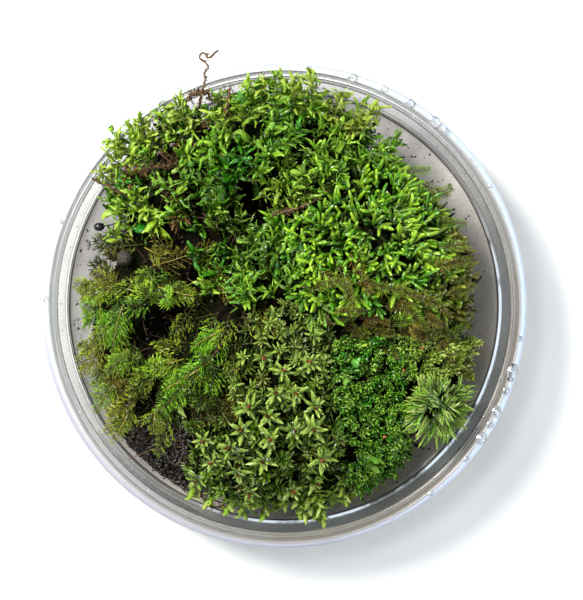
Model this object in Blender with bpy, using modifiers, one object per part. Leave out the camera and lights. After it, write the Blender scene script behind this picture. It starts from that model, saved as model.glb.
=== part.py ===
"""A clump of mixed mosses on dark soil, heaped in a shallow clear plastic tub.

Units: sizes are named in millimetres and built in metres, +Z up.
The origin is the centre of the tub's flat underside; +Y is the top of the clump as seen from above.
Each moss is one solid: a lumpy cushion with its shoots fused to it, cut 0.3 mm short of its neighbours.
"""
import math
import random

import bmesh
import bpy
from mathutils import Matrix, Vector, noise

MM = 0.001

# ---------------------------------------------------------------- driving sizes, in millimetres
TUB_RADIUS = 58.5          # outside of the rolled rim
TUB_HEIGHT = 22.0
TUB_FLOOR = 0.8            # thickness of the floor
TUB_STEPS = 32             # sides of the turned tub
GAP = 0.3                  # left between pieces that touch

SOIL_BOTTOM = TUB_FLOOR + GAP
SOIL_TOP = 9.0
MOSS_BOTTOM = SOIL_TOP + GAP
REACH = 64.0               # how far out the cutting wedges go
CEILING = 60.0             # and how far up

EDGE_TOP = 14.0            # height of the cushions at the outline of the clump
CROWN_TOP = 31.0           # and in the middle, before hills and hollows
GRID_STEP = 4.8            # spacing of the cushion's points
GRID_SHIFT = 0.36          # how far each point is moved off the grid, as a share of the spacing
LUMP_HEIGHT = 1.6          # small lumps all over the heap
LUMP_WIDTH = 7.0
FLAT_ANGLE = 1.0           # degrees: faces that meet flatter than this are merged
SHARP_ANGLE = 35.0         # degrees: edges steeper than this are shown sharp
ROOM = 3.6                 # between a larger shoot and the small ones around it
EDGE_INSET = 2.0           # how far inside the outline the shoots of the edge have their feet

# Outline of the cushions from above: radius at every 15 degrees, counted from +X towards +Y
OUTLINE_STEP = 15
OUTLINE = (43.5, 45.0, 43.5, 42.5, 44.0, 47.0, 48.5, 48.0, 48.5, 48.5, 45.0, 43.0,
           47.5, 49.0, 49.5, 48.5, 48.0, 49.5, 48.5, 49.5, 48.0, 46.0, 48.0, 46.5)

# Hills and hollows of the heap: x, y, height, radius
HILLS = (
    (-7, 37, 6, 13), (-33, 33, 7, 12), (-10, 49, 9, 11), (10, 46, 5, 10),
    (27, 17, 8, 16), (37, 2, 3, 9), (36, -25, 8, 8), (3, -24, 5, 12),
    (-8, -37, 6, 11), (14, -36, 3, 9), (-23, -20, 5, 9), (-38, -4, 4, 10),
    (-7.5, 23, -17, 6.5), (-28, -6, -13, 5), (-18, 7, -10, 5), (-26, 19, -9, 6),
    (-31, -32, -6, 8), (18, -9, -4, 7), (11, -41, -3, 4),
)

# ---------------------------------------------------------------- where one moss meets the next
LEAFY_CATKIN = ((26.3, 39.2), (18.5, 33.3), (12.1, 27.8), (3.8, 23.1), (-5.2, 19.8))
LOBE_CATKIN = ((-5.2, 19.8), (0.3, 15.5), (1.9, 8.5), (1.5, 1.4))
LOBE_STAR = ((1.5, 1.4), (-5.2, -0.5))
LOBE_FEATHER = ((-5.2, -0.5), (-11.6, 1.4), (-14.6, 6.1), (-16.3, 12.0), (-18.7, 15.5))
LEAFY_FEATHER = ((-18.7, 15.5), (-28.1, 14.6), (-36.4, 15.5), (-45.4, 15.5))
CATKIN_STRAND = ((1.5, 1.4), (7.4, -2.6), (13.3, -2.0), (20.4, -0.1), (28.7, 0.6), (36.9, -2.9), (46.4, -3.9))
STRAND_STAR = ((1.5, 1.4), (10.9, -6.9))
STRAND_TURF = ((10.9, -6.9), (19.0, -7.6), (27.5, -7.2), (36.9, -9.3), (46.4, -8.2))
TURF_STAR = ((10.9, -6.9), (10.2, -11.5), (10.9, -17.6), (12.1, -27.0), (15.6, -34.1), (14.5, -40.2),
             (18.0, -44.1))
TURF_NEEDLE = ((46.9, -16.4), (36.9, -16.4), (29.1, -18.8), (28.2, -27.0), (30.3, -34.1), (31.0, -38.9))
FEATHER_STAR = ((-5.2, -0.5), (-9.2, -5.7), (-12.3, -11.7), (-13.9, -22.3), (-22.2, -28.2))
FEATHER_SOIL = ((-22.2, -28.2), (-33.0, -27.0), (-44.7, -27.6))
SOIL_STAR = ((-22.2, -28.2), (-23.4, -38.9), (-22.7, -46.0))


# ================================================================ helpers
def smoothstep(value):
    value = min(max(value, 0.0), 1.0)
    return value * value * (3.0 - 2.0 * value)


def outline_radius(angle_deg):
    """Radius of the cushions at an angle, eased from one named radius to the next."""
    place = (angle_deg % 360.0) / OUTLINE_STEP
    first = int(place)
    share = smoothstep(place - first)
    count = len(OUTLINE)
    return OUTLINE[first % count] * (1 - share) + OUTLINE[(first + 1) % count] * share


def heap_height(x, y):
    """Height of the heap: a flat dome inside the outline, plus hills and hollows, plus small lumps."""
    rim = outline_radius(math.degrees(math.atan2(y, x)))
    out = min(math.hypot(x, y) / rim, 1.0)
    height = EDGE_TOP + (CROWN_TOP - EDGE_TOP) * (1.0 - out ** 3) ** 0.8
    for hill_x, hill_y, rise, radius in HILLS:
        height += rise * math.exp(-((x - hill_x) ** 2 + (y - hill_y) ** 2) / radius ** 2)
    height += LUMP_HEIGHT * noise.noise(Vector((x / LUMP_WIDTH, y / LUMP_WIDTH, 3.0)))
    return max(height, MOSS_BOTTOM + 1.5)


def heap_normal(x, y):
    step = 1.5
    slope_x = (heap_height(x + step, y) - heap_height(x - step, y)) / (2 * step)
    slope_y = (heap_height(x, y + step) - heap_height(x, y - step)) / (2 * step)
    return Vector((-slope_x, -slope_y, 1.0)).normalized()


def edge_place(angle_deg, height):
    """A place just inside the outline of the cushions, at an angle and a height."""
    angle = math.radians(angle_deg)
    reach = outline_radius(angle_deg) - EDGE_INSET
    return Vector((reach * math.cos(angle), reach * math.sin(angle), height))


def collection(name):
    made = bpy.data.collections.new(name)
    bpy.context.scene.collection.children.link(made)
    return made


def material(name, color, roughness, metallic=0.0, alpha=1.0):
    made = bpy.data.materials.new(name)
    made.use_nodes = True
    shader = made.node_tree.nodes["Principled BSDF"]
    shader.inputs["Base Color"].default_value = (*color, 1.0)
    shader.inputs["Roughness"].default_value = roughness
    shader.inputs["Metallic"].default_value = metallic
    shader.inputs["Alpha"].default_value = alpha
    return made


def new_object(name, data, home, look=None):
    made = bpy.data.objects.new(name, data)
    home.objects.link(made)
    if look:
        made.data.materials.append(look)
    return made


def cutter_object(name, data):
    """A tool that shapes the parts and isn't one of them."""
    made = new_object(name, data, CUTTERS)
    made.hide_render = True
    made.display_type = "WIRE"
    return made


def mesh_from(name, bm):
    """A mesh in metres from a bmesh in millimetres."""
    bmesh.ops.scale(bm, vec=(MM, MM, MM), verts=bm.verts)
    mesh = bpy.data.meshes.new(name)
    bm.to_mesh(mesh)
    bm.free()
    return mesh


def evaluated_mesh(obj):
    bpy.context.view_layer.update()
    graph = bpy.context.evaluated_depsgraph_get()
    return bpy.data.meshes.new_from_object(obj.evaluated_get(graph))


def boolean(obj, operation, other, join_self=False):
    step = obj.modifiers.new(operation.title(), "BOOLEAN")
    step.operation = operation
    step.object = other
    step.solver = "EXACT"
    step.use_self = join_self


def largest_body(mesh):
    """Keeps the biggest joined body of a mesh, with the needless cuts across its flat faces taken out."""
    bm = bmesh.new()
    bm.from_mesh(mesh)
    bodies = []
    left = set(bm.verts)
    while left:
        body = {left.pop()}
        front = list(body)
        while front:
            vertex = front.pop()
            for link in vertex.link_edges:
                other = link.other_vert(vertex)
                if other in left:
                    left.discard(other)
                    body.add(other)
                    front.append(other)
        bodies.append(body)
    biggest = max(bodies, key=lambda body: max(v.co.x for v in body) - min(v.co.x for v in body))
    spare = [v for v in bm.verts if v not in biggest]
    bmesh.ops.delete(bm, geom=spare, context="VERTS")
    bmesh.ops.dissolve_limit(bm, angle_limit=math.radians(FLAT_ANGLE), verts=bm.verts, edges=bm.edges)
    bmesh.ops.triangulate(bm, faces=bm.faces, ngon_method="EAR_CLIP")
    bm.to_mesh(mesh)
    bm.free()
    return mesh


def inset(points, distance):
    """A closed outline, counter-clockwise, with every side moved inwards by a distance."""
    count = len(points)
    area = sum(points[i - 1][0] * points[i][1] - points[i][0] * points[i - 1][1] for i in range(count))
    if area < 0:
        points = points[::-1]
    moved = []
    for i in range(count):
        before, here, after = (Vector(points[(i + k) % count]) for k in (-1, 0, 1))
        first = (here - before).normalized()
        second = (after - here).normalized()
        inward = Vector((-first.y, first.x)) + Vector((-second.y, second.x))
        inward /= max(1.0 + first.dot(second), 0.4)
        moved.append(here + inward * distance)
    return moved


def far_arc(start_deg, end_deg):
    """Points far outside the tub, from one bearing to another, that close a region's outer side."""
    count = max(1, round(abs(end_deg - start_deg) / 30))
    angles = (start_deg + (end_deg - start_deg) * k / count for k in range(count + 1))
    return tuple((REACH * math.cos(math.radians(a)), REACH * math.sin(math.radians(a))) for a in angles)


def prism(name, points, bottom, top):
    """An upright block over a region: a flat filled curve, extruded."""
    curve = bpy.data.curves.new(name, "CURVE")
    curve.dimensions = "2D"
    curve.fill_mode = "BOTH"
    curve.extrude = (top - bottom) / 2 * MM
    spline = curve.splines.new("POLY")
    spline.points.add(len(points) - 1)
    for point, (x, y) in zip(spline.points, points):
        point.co = (x * MM, y * MM, 0, 1)
    spline.use_cyclic_u = True
    blank = cutter_object(name + "_curve", curve)
    blank.location.z = (top + bottom) / 2 * MM
    mesh = evaluated_mesh(blank)
    mesh.transform(Matrix.Translation(blank.location))
    bpy.data.objects.remove(blank)
    bm = bmesh.new()
    bm.from_mesh(mesh)
    bmesh.ops.remove_doubles(bm, verts=bm.verts, dist=0.01 * MM)
    bmesh.ops.recalc_face_normals(bm, faces=bm.faces)
    bm.to_mesh(mesh)
    bm.free()
    return cutter_object(name, mesh)


def region_prism(name, region, bottom):
    """The block over a region, half a gap inside its outline."""
    return prism(name + "_region", inset(list(region), GAP / 2), bottom, CEILING)


def inside(points, x, y):
    """Whether a place is inside an outline, by counting the sides to its right."""
    count = len(points)
    crossings = 0
    for i in range(count):
        (ax, ay), (bx, by) = points[i - 1], points[i]
        if (ay > y) != (by > y) and x < (bx - ax) * (y - ay) / (by - ay) + ax:
            crossings += 1
    return crossings % 2 == 1


def scatter(points, spacing, seed, margin):
    """Places about a spacing apart, each nudged, inside a region and the outline, out of the hollows."""
    dice = random.Random(seed)
    kept = inset(list(points), margin)
    places = []
    steps = int(REACH / spacing) + 1
    for i in range(-steps, steps + 1):
        for j in range(-steps, steps + 1):
            x = (i + 0.5 * (j % 2) + dice.uniform(-0.3, 0.3)) * spacing
            y = (j * 0.87 + dice.uniform(-0.3, 0.3)) * spacing
            if not inside(kept, x, y):
                continue
            if math.hypot(x, y) > outline_radius(math.degrees(math.atan2(y, x))) - 1.5:
                continue
            if heap_height(x, y) < EDGE_TOP + 2.0:
                continue
            places.append((x, y))
    return places


def turned(direction):
    """A turn that takes +Z to a direction."""
    return Vector(direction).to_track_quat("Z", "Y").to_matrix().to_4x4()


def spike(bm, foot, direction, length, width, sides=3, tip=0.0, flat=1.0):
    """One shoot or leaf: a cone on its foot, narrowed to tip times its width, flattened to flat."""
    place = (
        Matrix.Translation(foot)
        @ turned(direction)
        @ Matrix.Diagonal((1.0, flat, 1.0, 1.0))
        @ Matrix.Translation((0, 0, length / 2))
    )
    bmesh.ops.create_cone(
        bm, cap_ends=True, segments=sides, radius1=width / 2, radius2=width / 2 * tip,
        depth=length, matrix=place,
    )


def tube_mesh(name, route, widths, bevel_resolution=0):
    """A closed tapered tube through a route's points, in millimetres."""
    curve = bpy.data.curves.new(name, "CURVE")
    curve.dimensions = "3D"
    curve.bevel_depth = MM / 2
    curve.bevel_resolution = bevel_resolution
    curve.use_fill_caps = True
    spline = curve.splines.new("POLY")
    spline.points.add(len(route) - 1)
    for point, place, width in zip(spline.points, route, widths):
        point.co = (*(Vector(place) * MM), 1)
        point.radius = width
    blank = cutter_object(name + "_curve", curve)
    mesh = evaluated_mesh(blank)
    bpy.data.objects.remove(blank)
    bm = bmesh.new()
    bm.from_mesh(mesh)
    bmesh.ops.remove_doubles(bm, verts=bm.verts, dist=0.001 * MM)
    bmesh.ops.recalc_face_normals(bm, faces=bm.faces)
    bm.to_mesh(mesh)
    bm.free()
    return mesh


def eased_route(points, count):
    """A smooth route (Catmull-Rom) through hand-set points."""
    knots = [Vector(p) for p in points]
    knots = [knots[0] * 2 - knots[1], *knots, knots[-1] * 2 - knots[-2]]
    route = []
    spans = len(points) - 1
    for k in range(count):
        place = k / (count - 1) * spans
        i = min(int(place), spans - 1)
        t = place - i
        a, b, c, d = knots[i:i + 4]
        route.append(0.5 * (2 * b + (c - a) * t + (2 * a - 5 * b + 4 * c - d) * t * t
                            + (3 * b - a - 3 * c + d) * t ** 3))
    return route


def frond(bm, route, width, leaf, pairs, droop=0.2):
    """A bending stem with a row of small leaves on each side, all one surface.

    The stem is a square tube, and each leaf is one of its upper faces poked and drawn out to a point.
    """
    path = eased_route(route, pairs + 1)
    widths = [width * (1 - 0.5 * k / pairs) for k in range(pairs + 1)]
    mesh = tube_mesh("frond", path, widths)
    mesh.transform(Matrix.Scale(1 / MM, 4))
    one = bmesh.new()
    one.from_mesh(mesh)
    bpy.data.meshes.remove(mesh)
    one.normal_update()
    sides = [f for f in one.faces if len(f.verts) == 4]
    middles = {f: f.calc_center_median() for f in sides}
    chosen = []
    for face in sides:
        nearest = min(range(pairs), key=lambda k: (path[k].lerp(path[k + 1], 0.5) - middles[face]).length)
        along = (path[nearest + 1] - path[nearest]).normalized()
        if abs(face.normal.dot(along)) < 0.6 and face.normal.z > 0.05:
            chosen.append((face, along, nearest))
    made = bmesh.ops.poke(one, faces=[face for face, _, _ in chosen])
    for vertex, (_, along, nearest) in zip(made["verts"], chosen):
        middle = path[nearest].lerp(path[nearest + 1], 0.5)
        out = vertex.co - middle
        out.z = 0
        out = out.normalized() + along * 0.7 - Vector((0, 0, droop))
        vertex.co += out.normalized() * leaf * (1 - 0.45 * nearest / pairs)
    spare = bpy.data.meshes.new("frond")
    one.to_mesh(spare)
    one.free()
    bm.from_mesh(spare)
    bpy.data.meshes.remove(spare)


def whorl(bm, middle, axis, leaves, reach, sink, valley=0.4, turn=0.0, lift=0.5):
    """A star of leaves: an upturned cone sunk in the cushion, its rim drawn in between the leaf tips."""
    place = Matrix.Translation(middle) @ turned(axis) @ Matrix.Rotation(turn, 4, "Z")
    made = bmesh.ops.create_cone(
        bm, cap_ends=True, segments=2 * leaves, radius1=0.0, radius2=reach, depth=sink,
    )
    rim = [v for v in made["verts"] if v.co.z > 0]
    rim.sort(key=lambda v: math.atan2(v.co.y, v.co.x))
    for k, vertex in enumerate(rim):
        if k % 2:
            vertex.co.x *= valley
            vertex.co.y *= valley
        else:
            vertex.co.z += lift
    for vertex in made["verts"]:
        vertex.co = place @ (vertex.co - Vector((0, 0, sink / 2)))


# ================================================================ the empty scene
for old in list(bpy.data.objects):
    bpy.data.objects.remove(old, do_unlink=True)

PARTS = collection("moss_clump")
CUTTERS = collection("cutters")


# ================================================================ tub
def make_tub():
    """Clear pressed tub: flat floor, drafted wall, a lid ledge and a lip that is rolled outwards and down.

    The profile runs up the inside from the middle of the floor, over the lip and down the outside.
    """
    top = TUB_HEIGHT
    rim = TUB_RADIUS
    profile = (
        (0.0, TUB_FLOOR), (52.8, TUB_FLOOR), (53.7, 1.2), (54.2, 2.6),
        (54.8, top - 4.4), (55.9, top - 3.8), (56.1, top - 0.9),
        (56.5, top - 0.2), (57.3, top), (58.1, top - 0.3), (rim, top - 1.1), (58.3, top - 2.9),
        (57.6, top - 2.9), (57.4, top - 1.3), (56.9, top - 1.3),
        (56.7, top - 4.0), (55.5, top - 4.9), (54.9, 2.4), (54.2, 0.6), (53.1, 0.0), (0.0, 0.0),
    )
    mesh = bpy.data.meshes.new("tub_profile")
    edges = [(i, i + 1) for i in range(len(profile) - 1)]
    mesh.from_pydata([(r * MM, 0, z * MM) for r, z in profile], edges, [])
    tub = new_object("clear_tub", mesh, PARTS, material("clear_plastic", (0.86, 0.88, 0.88), 0.06, alpha=0.3))
    screw = tub.modifiers.new("Turned", "SCREW")
    screw.steps = screw.render_steps = TUB_STEPS
    screw.use_merge_vertices = True
    screw.merge_threshold = 0.0001
    return tub


make_tub()


# ================================================================ the heap that the mosses are cut from
def heap_block(name, region=None, grow=None, taken=()):
    """The whole heap as one closed block, with the cells of one region grown into shoots by grow.

    Cells near a taken place are left smooth, because a larger shoot stands there.
    """
    half = math.ceil(max(OUTLINE) / GRID_STEP) * GRID_STEP
    count = round(2 * half / GRID_STEP)
    bottom = SOIL_TOP - 1.5
    bm = bmesh.new()
    bmesh.ops.create_grid(bm, x_segments=count, y_segments=count, size=half)
    for vertex in bm.verts:
        shift = Vector((noise.noise(vertex.co * 0.31), noise.noise(vertex.co * 0.29 + Vector((9, 4, 0))), 0))
        vertex.co += shift * GRID_STEP * GRID_SHIFT
        vertex.co.z = heap_height(vertex.co.x, vertex.co.y)
    top = list(bm.faces)
    grown = bmesh.ops.extrude_face_region(bm, geom=top)
    upper = {item for item in grown["geom"] if isinstance(item, bmesh.types.BMVert)}
    for vertex in bm.verts:
        if vertex not in upper:
            vertex.co.z = bottom
    bmesh.ops.dissolve_faces(bm, faces=[f for f in bm.faces if not upper.intersection(f.verts)])
    bmesh.ops.recalc_face_normals(bm, faces=bm.faces)
    if grow:
        cells = []
        for face in bm.faces:
            middle = face.calc_center_median()
            is_top = len(face.verts) == 4 and upper.issuperset(face.verts)
            if not is_top or not grows(region, middle.x, middle.y):
                continue
            if all(math.hypot(middle.x - x, middle.y - y) > ROOM for x, y in taken):
                cells.append(face)
        grow(bm, cells)
    block = cutter_object(name, mesh_from(name, bm))
    ring = [(outline_radius(a) * math.cos(math.radians(a)), outline_radius(a) * math.sin(math.radians(a)))
            for a in range(0, 360, 10)]
    boolean(block, "INTERSECT", prism(name + "_outline", ring, SOIL_TOP - 3.0, CEILING))
    return block


def grows(region, x, y):
    """Whether a cell of the heap carries shoots: in the region, inside the outline and out of the hollows."""
    reach = outline_radius(math.degrees(math.atan2(y, x)))
    return inside(region, x, y) and math.hypot(x, y) < reach - 0.5 and heap_height(x, y) > EDGE_TOP


def pointed(length, lean, seed):
    """Grows a pointed shoot from each cell."""
    def grow(bm, cells):
        dice = random.Random(seed)
        normals = [face.normal.copy() for face in cells]
        made = bmesh.ops.poke(bm, faces=cells)
        for vertex, normal in zip(made["verts"], normals):
            side = Vector((dice.uniform(-1, 1), dice.uniform(-1, 1), 0)) * lean
            vertex.co += (normal + Vector((0, 0, 0.4)) + side).normalized() * length * dice.uniform(0.6, 1.2)
    return grow


def blunt(length, lean, seed, share):
    """Grows a blunt shoot from each cell: its middle is raised and keeps a share of its width."""
    def grow(bm, cells):
        dice = random.Random(seed)
        for face in cells:
            normal = face.normal.copy()
            bmesh.ops.inset_individual(bm, faces=[face], thickness=GRID_STEP * (1 - share) / 2)
            side = Vector((dice.uniform(-1, 1) + 0.4, dice.uniform(-1, 1), 0)) * lean
            shift = (normal + Vector((0, 0, 0.2)) + side).normalized() * length * dice.uniform(0.6, 1.2)
            for vertex in face.verts:
                vertex.co += shift
    return grow


def make_patch(name, region, grow, shoots, look, grooves=()):
    """One moss: its part of the heap with its shoots fused on, less the grooves that hold the twigs.

    shoots fills a bmesh with the larger shoots and returns the places where they stand.
    """
    larger = bmesh.new()
    taken = shoots(larger)
    joined = heap_block(name + "_heap", region, grow, taken)
    if larger.verts:
        shoots_tool = cutter_object(name + "_shoots", mesh_from(name + "_shoots", larger))
        boolean(joined, "UNION", shoots_tool, join_self=True)
    boolean(joined, "INTERSECT", region_prism(name, region, MOSS_BOTTOM))
    for groove in grooves:
        boolean(joined, "DIFFERENCE", groove)
    mesh = largest_body(evaluated_mesh(joined))
    mesh.materials.clear()
    made = new_object(name, mesh, PARTS, look)
    mesh.shade_smooth()
    mesh.set_sharp_from_angle(angle=math.radians(SHARP_ANGLE))
    return made


# ================================================================ regions, as outlines that share their sides
LEAFY_REGION = (LEAFY_CATKIN + LOBE_CATKIN[1:] + LOBE_STAR[1:] + LOBE_FEATHER[1:] + LEAFY_FEATHER[1:]
                + far_arc(161, 56))
CATKIN_REGION = (LEAFY_CATKIN + LOBE_CATKIN[1:] + CATKIN_STRAND[1:] + far_arc(-5, 56))
STRAND_REGION = (CATKIN_STRAND + far_arc(-5, -10) + STRAND_TURF[::-1])
FEATHER_REGION = (LEAFY_FEATHER[::-1] + LOBE_FEATHER[::-1][1:] + FEATHER_STAR[1:] + FEATHER_SOIL[1:]
                  + far_arc(-148.3, -199))
SOIL_REGION = (FEATHER_SOIL[::-1] + SOIL_STAR[1:] + far_arc(-116.3, -148.3))
STAR_REGION = (LOBE_STAR[::-1] + STRAND_STAR[1:] + TURF_STAR[1:] + far_arc(-67.8, -116.3)
               + SOIL_STAR[::-1] + FEATHER_STAR[::-1][1:-1])
TURF_REGION = (STRAND_TURF + far_arc(-10, -19.3) + TURF_NEEDLE + far_arc(-51.4, -67.8) + TURF_STAR[::-1][:-1])
NEEDLE_REGION = (TURF_NEEDLE[::-1] + far_arc(-19.3, -51.4))


# ================================================================ loose bits that lie in the moss
def on_heap(x, y, above):
    return Vector((x, y, heap_height(x, y) + above))


# The dry bud sits in its own socket between leafy moss and feather moss: middle and radius
BUD_PLACE = (-38.4, 11.4)
BUD_RADIUS = 1.9

# name: route, widths at its two ends
TWIGS = {
    "cross_twig": (
        [on_heap(-3.0, 21.6, 6.0), on_heap(2.5, 22.9, 1.0), on_heap(6.6, 24.3, 0.6), on_heap(9.8, 27.2, 1.0)],
        1.0, 0.7,
    ),
    "dead_stem": (
        [on_heap(-39.5, 30.4, 0.6), on_heap(-34.0, 32.3, 0.8), on_heap(-30.0, 33.4, 0.7),
         on_heap(-25.5, 33.6, 0.5)],
        1.3, 0.9,
    ),
    "left_twig": (
        [Vector((-45.8, 30.6, 25.4)), Vector((-42.0, 28.4, 24.6)), Vector((-38.8, 26.6, 23.6)),
         on_heap(-35.8, 25.4, -1.0)],
        0.7, 0.9,
    ),
    "top_twig": (
        [Vector((-12.6, 51.5, 33.5)), Vector((-13.2, 48.4, 33.4)), Vector((-13.6, 46.0, 33.8)),
         on_heap(-14.4, 43.2, -1.0)],
        0.6, 0.8,
    ),
    "red_stem": (
        [on_heap(-14.6, -8.8, 0.6), on_heap(-17.4, -13.0, 0.5), on_heap(-20.7, -14.9, 0.5),
         on_heap(-24.0, -19.4, 0.6)],
        0.9, 0.6,
    ),
    "dead_sprig": (
        [on_heap(-20.8, 45.0, -1.5), Vector((-19.4, 49.8, 31.0)), Vector((-18.6, 51.8, 32.0)),
         Vector((-19.4, 54.2, 32.6)), Vector((-17.7, 56.2, 33.0)), Vector((-19.3, 58.2, 33.4)),
         Vector((-17.4, 58.8, 34.0)), Vector((-15.4, 59.9, 34.6))],
        1.7, 0.8,
    ),
}

WOOD = material("dead_stems", (0.19, 0.09, 0.04), 0.7)


def make_twig(name, route, first, last):
    """A thin dead stem along its route, and the wider tube that keeps its groove clear."""
    count = 5 if len(route) < 6 else 11
    path = eased_route(route, count)
    widths = [first + (last - first) * k / (count - 1) for k in range(count)]
    made = new_object(name, tube_mesh(name, path, widths, 1), PARTS, WOOD)
    groove_path = [path[0] * 2 - path[1], *path, path[-1] * 2 - path[-2]]
    wider = [widths[0], *widths, widths[-1]]
    groove_path[0] = path[0] + (groove_path[0] - path[0]).normalized() * GAP * 1.5
    groove_path[-1] = path[-1] + (groove_path[-1] - path[-1]).normalized() * GAP * 1.5
    groove = tube_mesh(name + "_groove", groove_path, [w + 2.4 * GAP for w in wider], 1)
    return made, cutter_object(name + "_groove", groove)


GROOVES = {name: make_twig(name, *facts)[1] for name, facts in TWIGS.items()}


def ball(name, middle, radius):
    bm = bmesh.new()
    bmesh.ops.create_icosphere(bm, subdivisions=2, radius=radius)
    bmesh.ops.translate(bm, vec=middle, verts=bm.verts)
    return mesh_from(name, bm)


def make_bud():
    """A round brown-grey dry bud, with the wider ball that keeps its socket clear."""
    middle = on_heap(*BUD_PLACE, 0.9)
    bud = new_object("dry_bud", ball("dry_bud", middle, BUD_RADIUS), PARTS,
                     material("dry_bud", (0.12, 0.09, 0.07), 0.8))
    bud.data.shade_smooth()
    return cutter_object("bud_socket", ball("bud_socket", middle, BUD_RADIUS + 1.2 * GAP))


BUD_SOCKET = make_bud()


# ================================================================ leafy moss, upper left
def leafy_shoots(bm):
    """Stars of broad pointed leaves, and long leafy shoots that arch out over the tub's lip."""
    dice = random.Random(11)
    taken = scatter(LEAFY_REGION, 10.8, 3, margin=2.5)
    for x, y in taken:
        axis = heap_normal(x, y) + Vector((dice.uniform(-0.4, 0.4), dice.uniform(-0.4, 0.4), 0.3))
        whorl(bm, on_heap(x, y, 2.2), axis, 5, dice.uniform(3.8, 4.8), 6.2,
              valley=0.35, turn=dice.uniform(0, 1), lift=0.8)
    # x, y of foot and tip, and how high the tip stands over the tub's floor
    arching = (
        (-31.5, 34.5, -37.6, 43.4, 31.0), (-34.0, 30.5, -42.8, 36.4, 29.0), (-36.0, 25.5, -44.6, 32.4, 27.6),
        (-25.0, 39.0, -30.4, 47.0, 31.0), (-7.0, 44.5, -8.6, 52.6, 36.0), (-0.5, 45.0, -2.3, 55.4, 34.6),
        (6.5, 44.0, 6.8, 56.4, 33.4), (15.0, 40.0, 20.4, 46.6, 28.6),
    )
    for foot_x, foot_y, tip_x, tip_y, tip_z in arching:
        foot = on_heap(foot_x, foot_y, -1.8)
        tip = Vector((tip_x, tip_y, tip_z))
        crest = foot.lerp(tip, 0.6)
        crest.z = max(foot.z, tip_z) + 1.5
        route = (foot, crest, tip)
        frond(bm, route, 2.4, 3.2, 3, droop=-0.2)
        taken.append((foot_x, foot_y))
    return taken


make_patch("leafy_moss", LEAFY_REGION, pointed(3.8, 0.5, 7), leafy_shoots,
           material("leafy_moss", (0.10, 0.32, 0.03), 0.35),
           [GROOVES[n] for n in ("cross_twig", "dead_stem", "left_twig", "top_twig", "dead_sprig")])


# ================================================================ catkin moss, right
def catkin_shoots(bm):
    """The outermost of the blunt round shoots, which lie over the cushion's edge."""
    for k, angle in enumerate((-2, 7, 16, 25, 34, 43, 51)):
        foot = edge_place(angle, 12.5 + 3 * (k % 3))
        spike(bm, foot, (foot.x, foot.y, 16), 4.6, 2.4, sides=4, tip=0.5)
    return []


make_patch("catkin_moss", CATKIN_REGION, blunt(4.6, 0.35, 23, 0.42), catkin_shoots,
           material("catkin_moss", (0.20, 0.50, 0.02), 0.4), [GROOVES["cross_twig"]])


# ================================================================ strands between catkin moss and turf
def strand_shoots(bm):
    """Flat olive strands that lie along the seam, with short leaves on both sides."""
    routes = (
        ((6, -3.6), (12, -4.6), (18, -4.0)),
        ((20, -4.8), (25, -4.0), (30, -4.2)),
        ((32, -4.0), (37, -6.4), (43, -6.4)),
    )
    for route in routes:
        frond(bm, [on_heap(x, y, 0.5) for x, y in route], 1.8, 2.6, 3)
    return [place for route in routes for place in route]


make_patch("trailing_strands", STRAND_REGION, pointed(2.2, 0.6, 17), strand_shoots,
           material("olive_strands", (0.17, 0.19, 0.03), 0.5))


# ================================================================ feather moss, left
def feather_shoots(bm):
    """Fronds like small ferns, lying over each other and curling down at the left edge."""
    fronds = (
        ((-38.0, 3.5), (-41.0, -3.5), (-43.0, -9.5)), ((-27.0, 3.0), (-22.0, 2.0), (-17.5, -0.5)),
        ((-33.0, 10.5), (-28.0, 8.5), (-22.0, 10.0)), ((-39.0, -12.0), (-40.5, -16.0), (-40.0, -21.0)),
        ((-18.0, -13.5), (-23.0, -17.5), (-29.5, -22.5)), ((-14.5, -6.5), (-19.0, -9.0), (-25.0, -12.5)),
        ((-34.0, -13.0), (-35.5, -18.0), (-36.0, -24.0)), ((-40.0, 11.0), (-43.5, 6.0), (-45.5, 1.0)),
        ((-32.0, 1.5), (-34.5, -4.0), (-35.0, -10.0)),
    )
    for route in fronds:
        frond(bm, [on_heap(x, y, 0.8) for x, y in route], 2.2, 4.2, 4)
    for angle in (176, 186, 194, 202, 210):
        foot = edge_place(angle, 13.5)
        spike(bm, foot, (foot.x, foot.y, -4), 5.0, 2.4, flat=0.5)
    return [place for route in fronds for place in route]


make_patch("feather_moss", FEATHER_REGION, pointed(2.6, 0.6, 31), feather_shoots,
           material("feather_moss", (0.15, 0.24, 0.02), 0.5), [GROOVES["red_stem"], BUD_SOCKET])


# ================================================================ star moss, bottom
# Middles of the leaf stars, from above
STARS = (
    (-19.0, -31.8), (-8.0, -24.1), (-3.6, -25.6), (-1.9, -20.6), (-9.6, -29.1), (-3.3, -31.0), (-12.3, -33.5),
    (-16.5, -36.9), (-4.6, -36.3), (-10.8, -38.9), (-20.4, -41.5), (-8.1, -43.4), (2.9, -20.3), (7.2, -23.2),
    (7.0, -28.6), (2.3, -29.1), (6.8, -42.0), (1.6, -43.9), (8.9, -36.0), (-5.0, -12.1), (-0.1, -15.6),
    (6.0, -13.5),
)


def star_shoots(bm):
    """Upright shoots that end in open stars of six pointed leaves."""
    dice = random.Random(47)
    for x, y in STARS:
        axis = heap_normal(x, y) + Vector((0, 0, 0.6))
        whorl(bm, on_heap(x, y, 2.4), axis, 6, dice.uniform(2.9, 3.4), 6.4,
              valley=0.42, turn=dice.uniform(0, 1))
    for angle, height in ((246, 17), (254, 20), (262, 16), (275, 17), (281, 21), (287, 17)):
        foot = edge_place(angle, height)
        spike(bm, foot, (foot.x, foot.y, 6), 5.4, 3.0, flat=0.5)
    return list(STARS)


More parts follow.
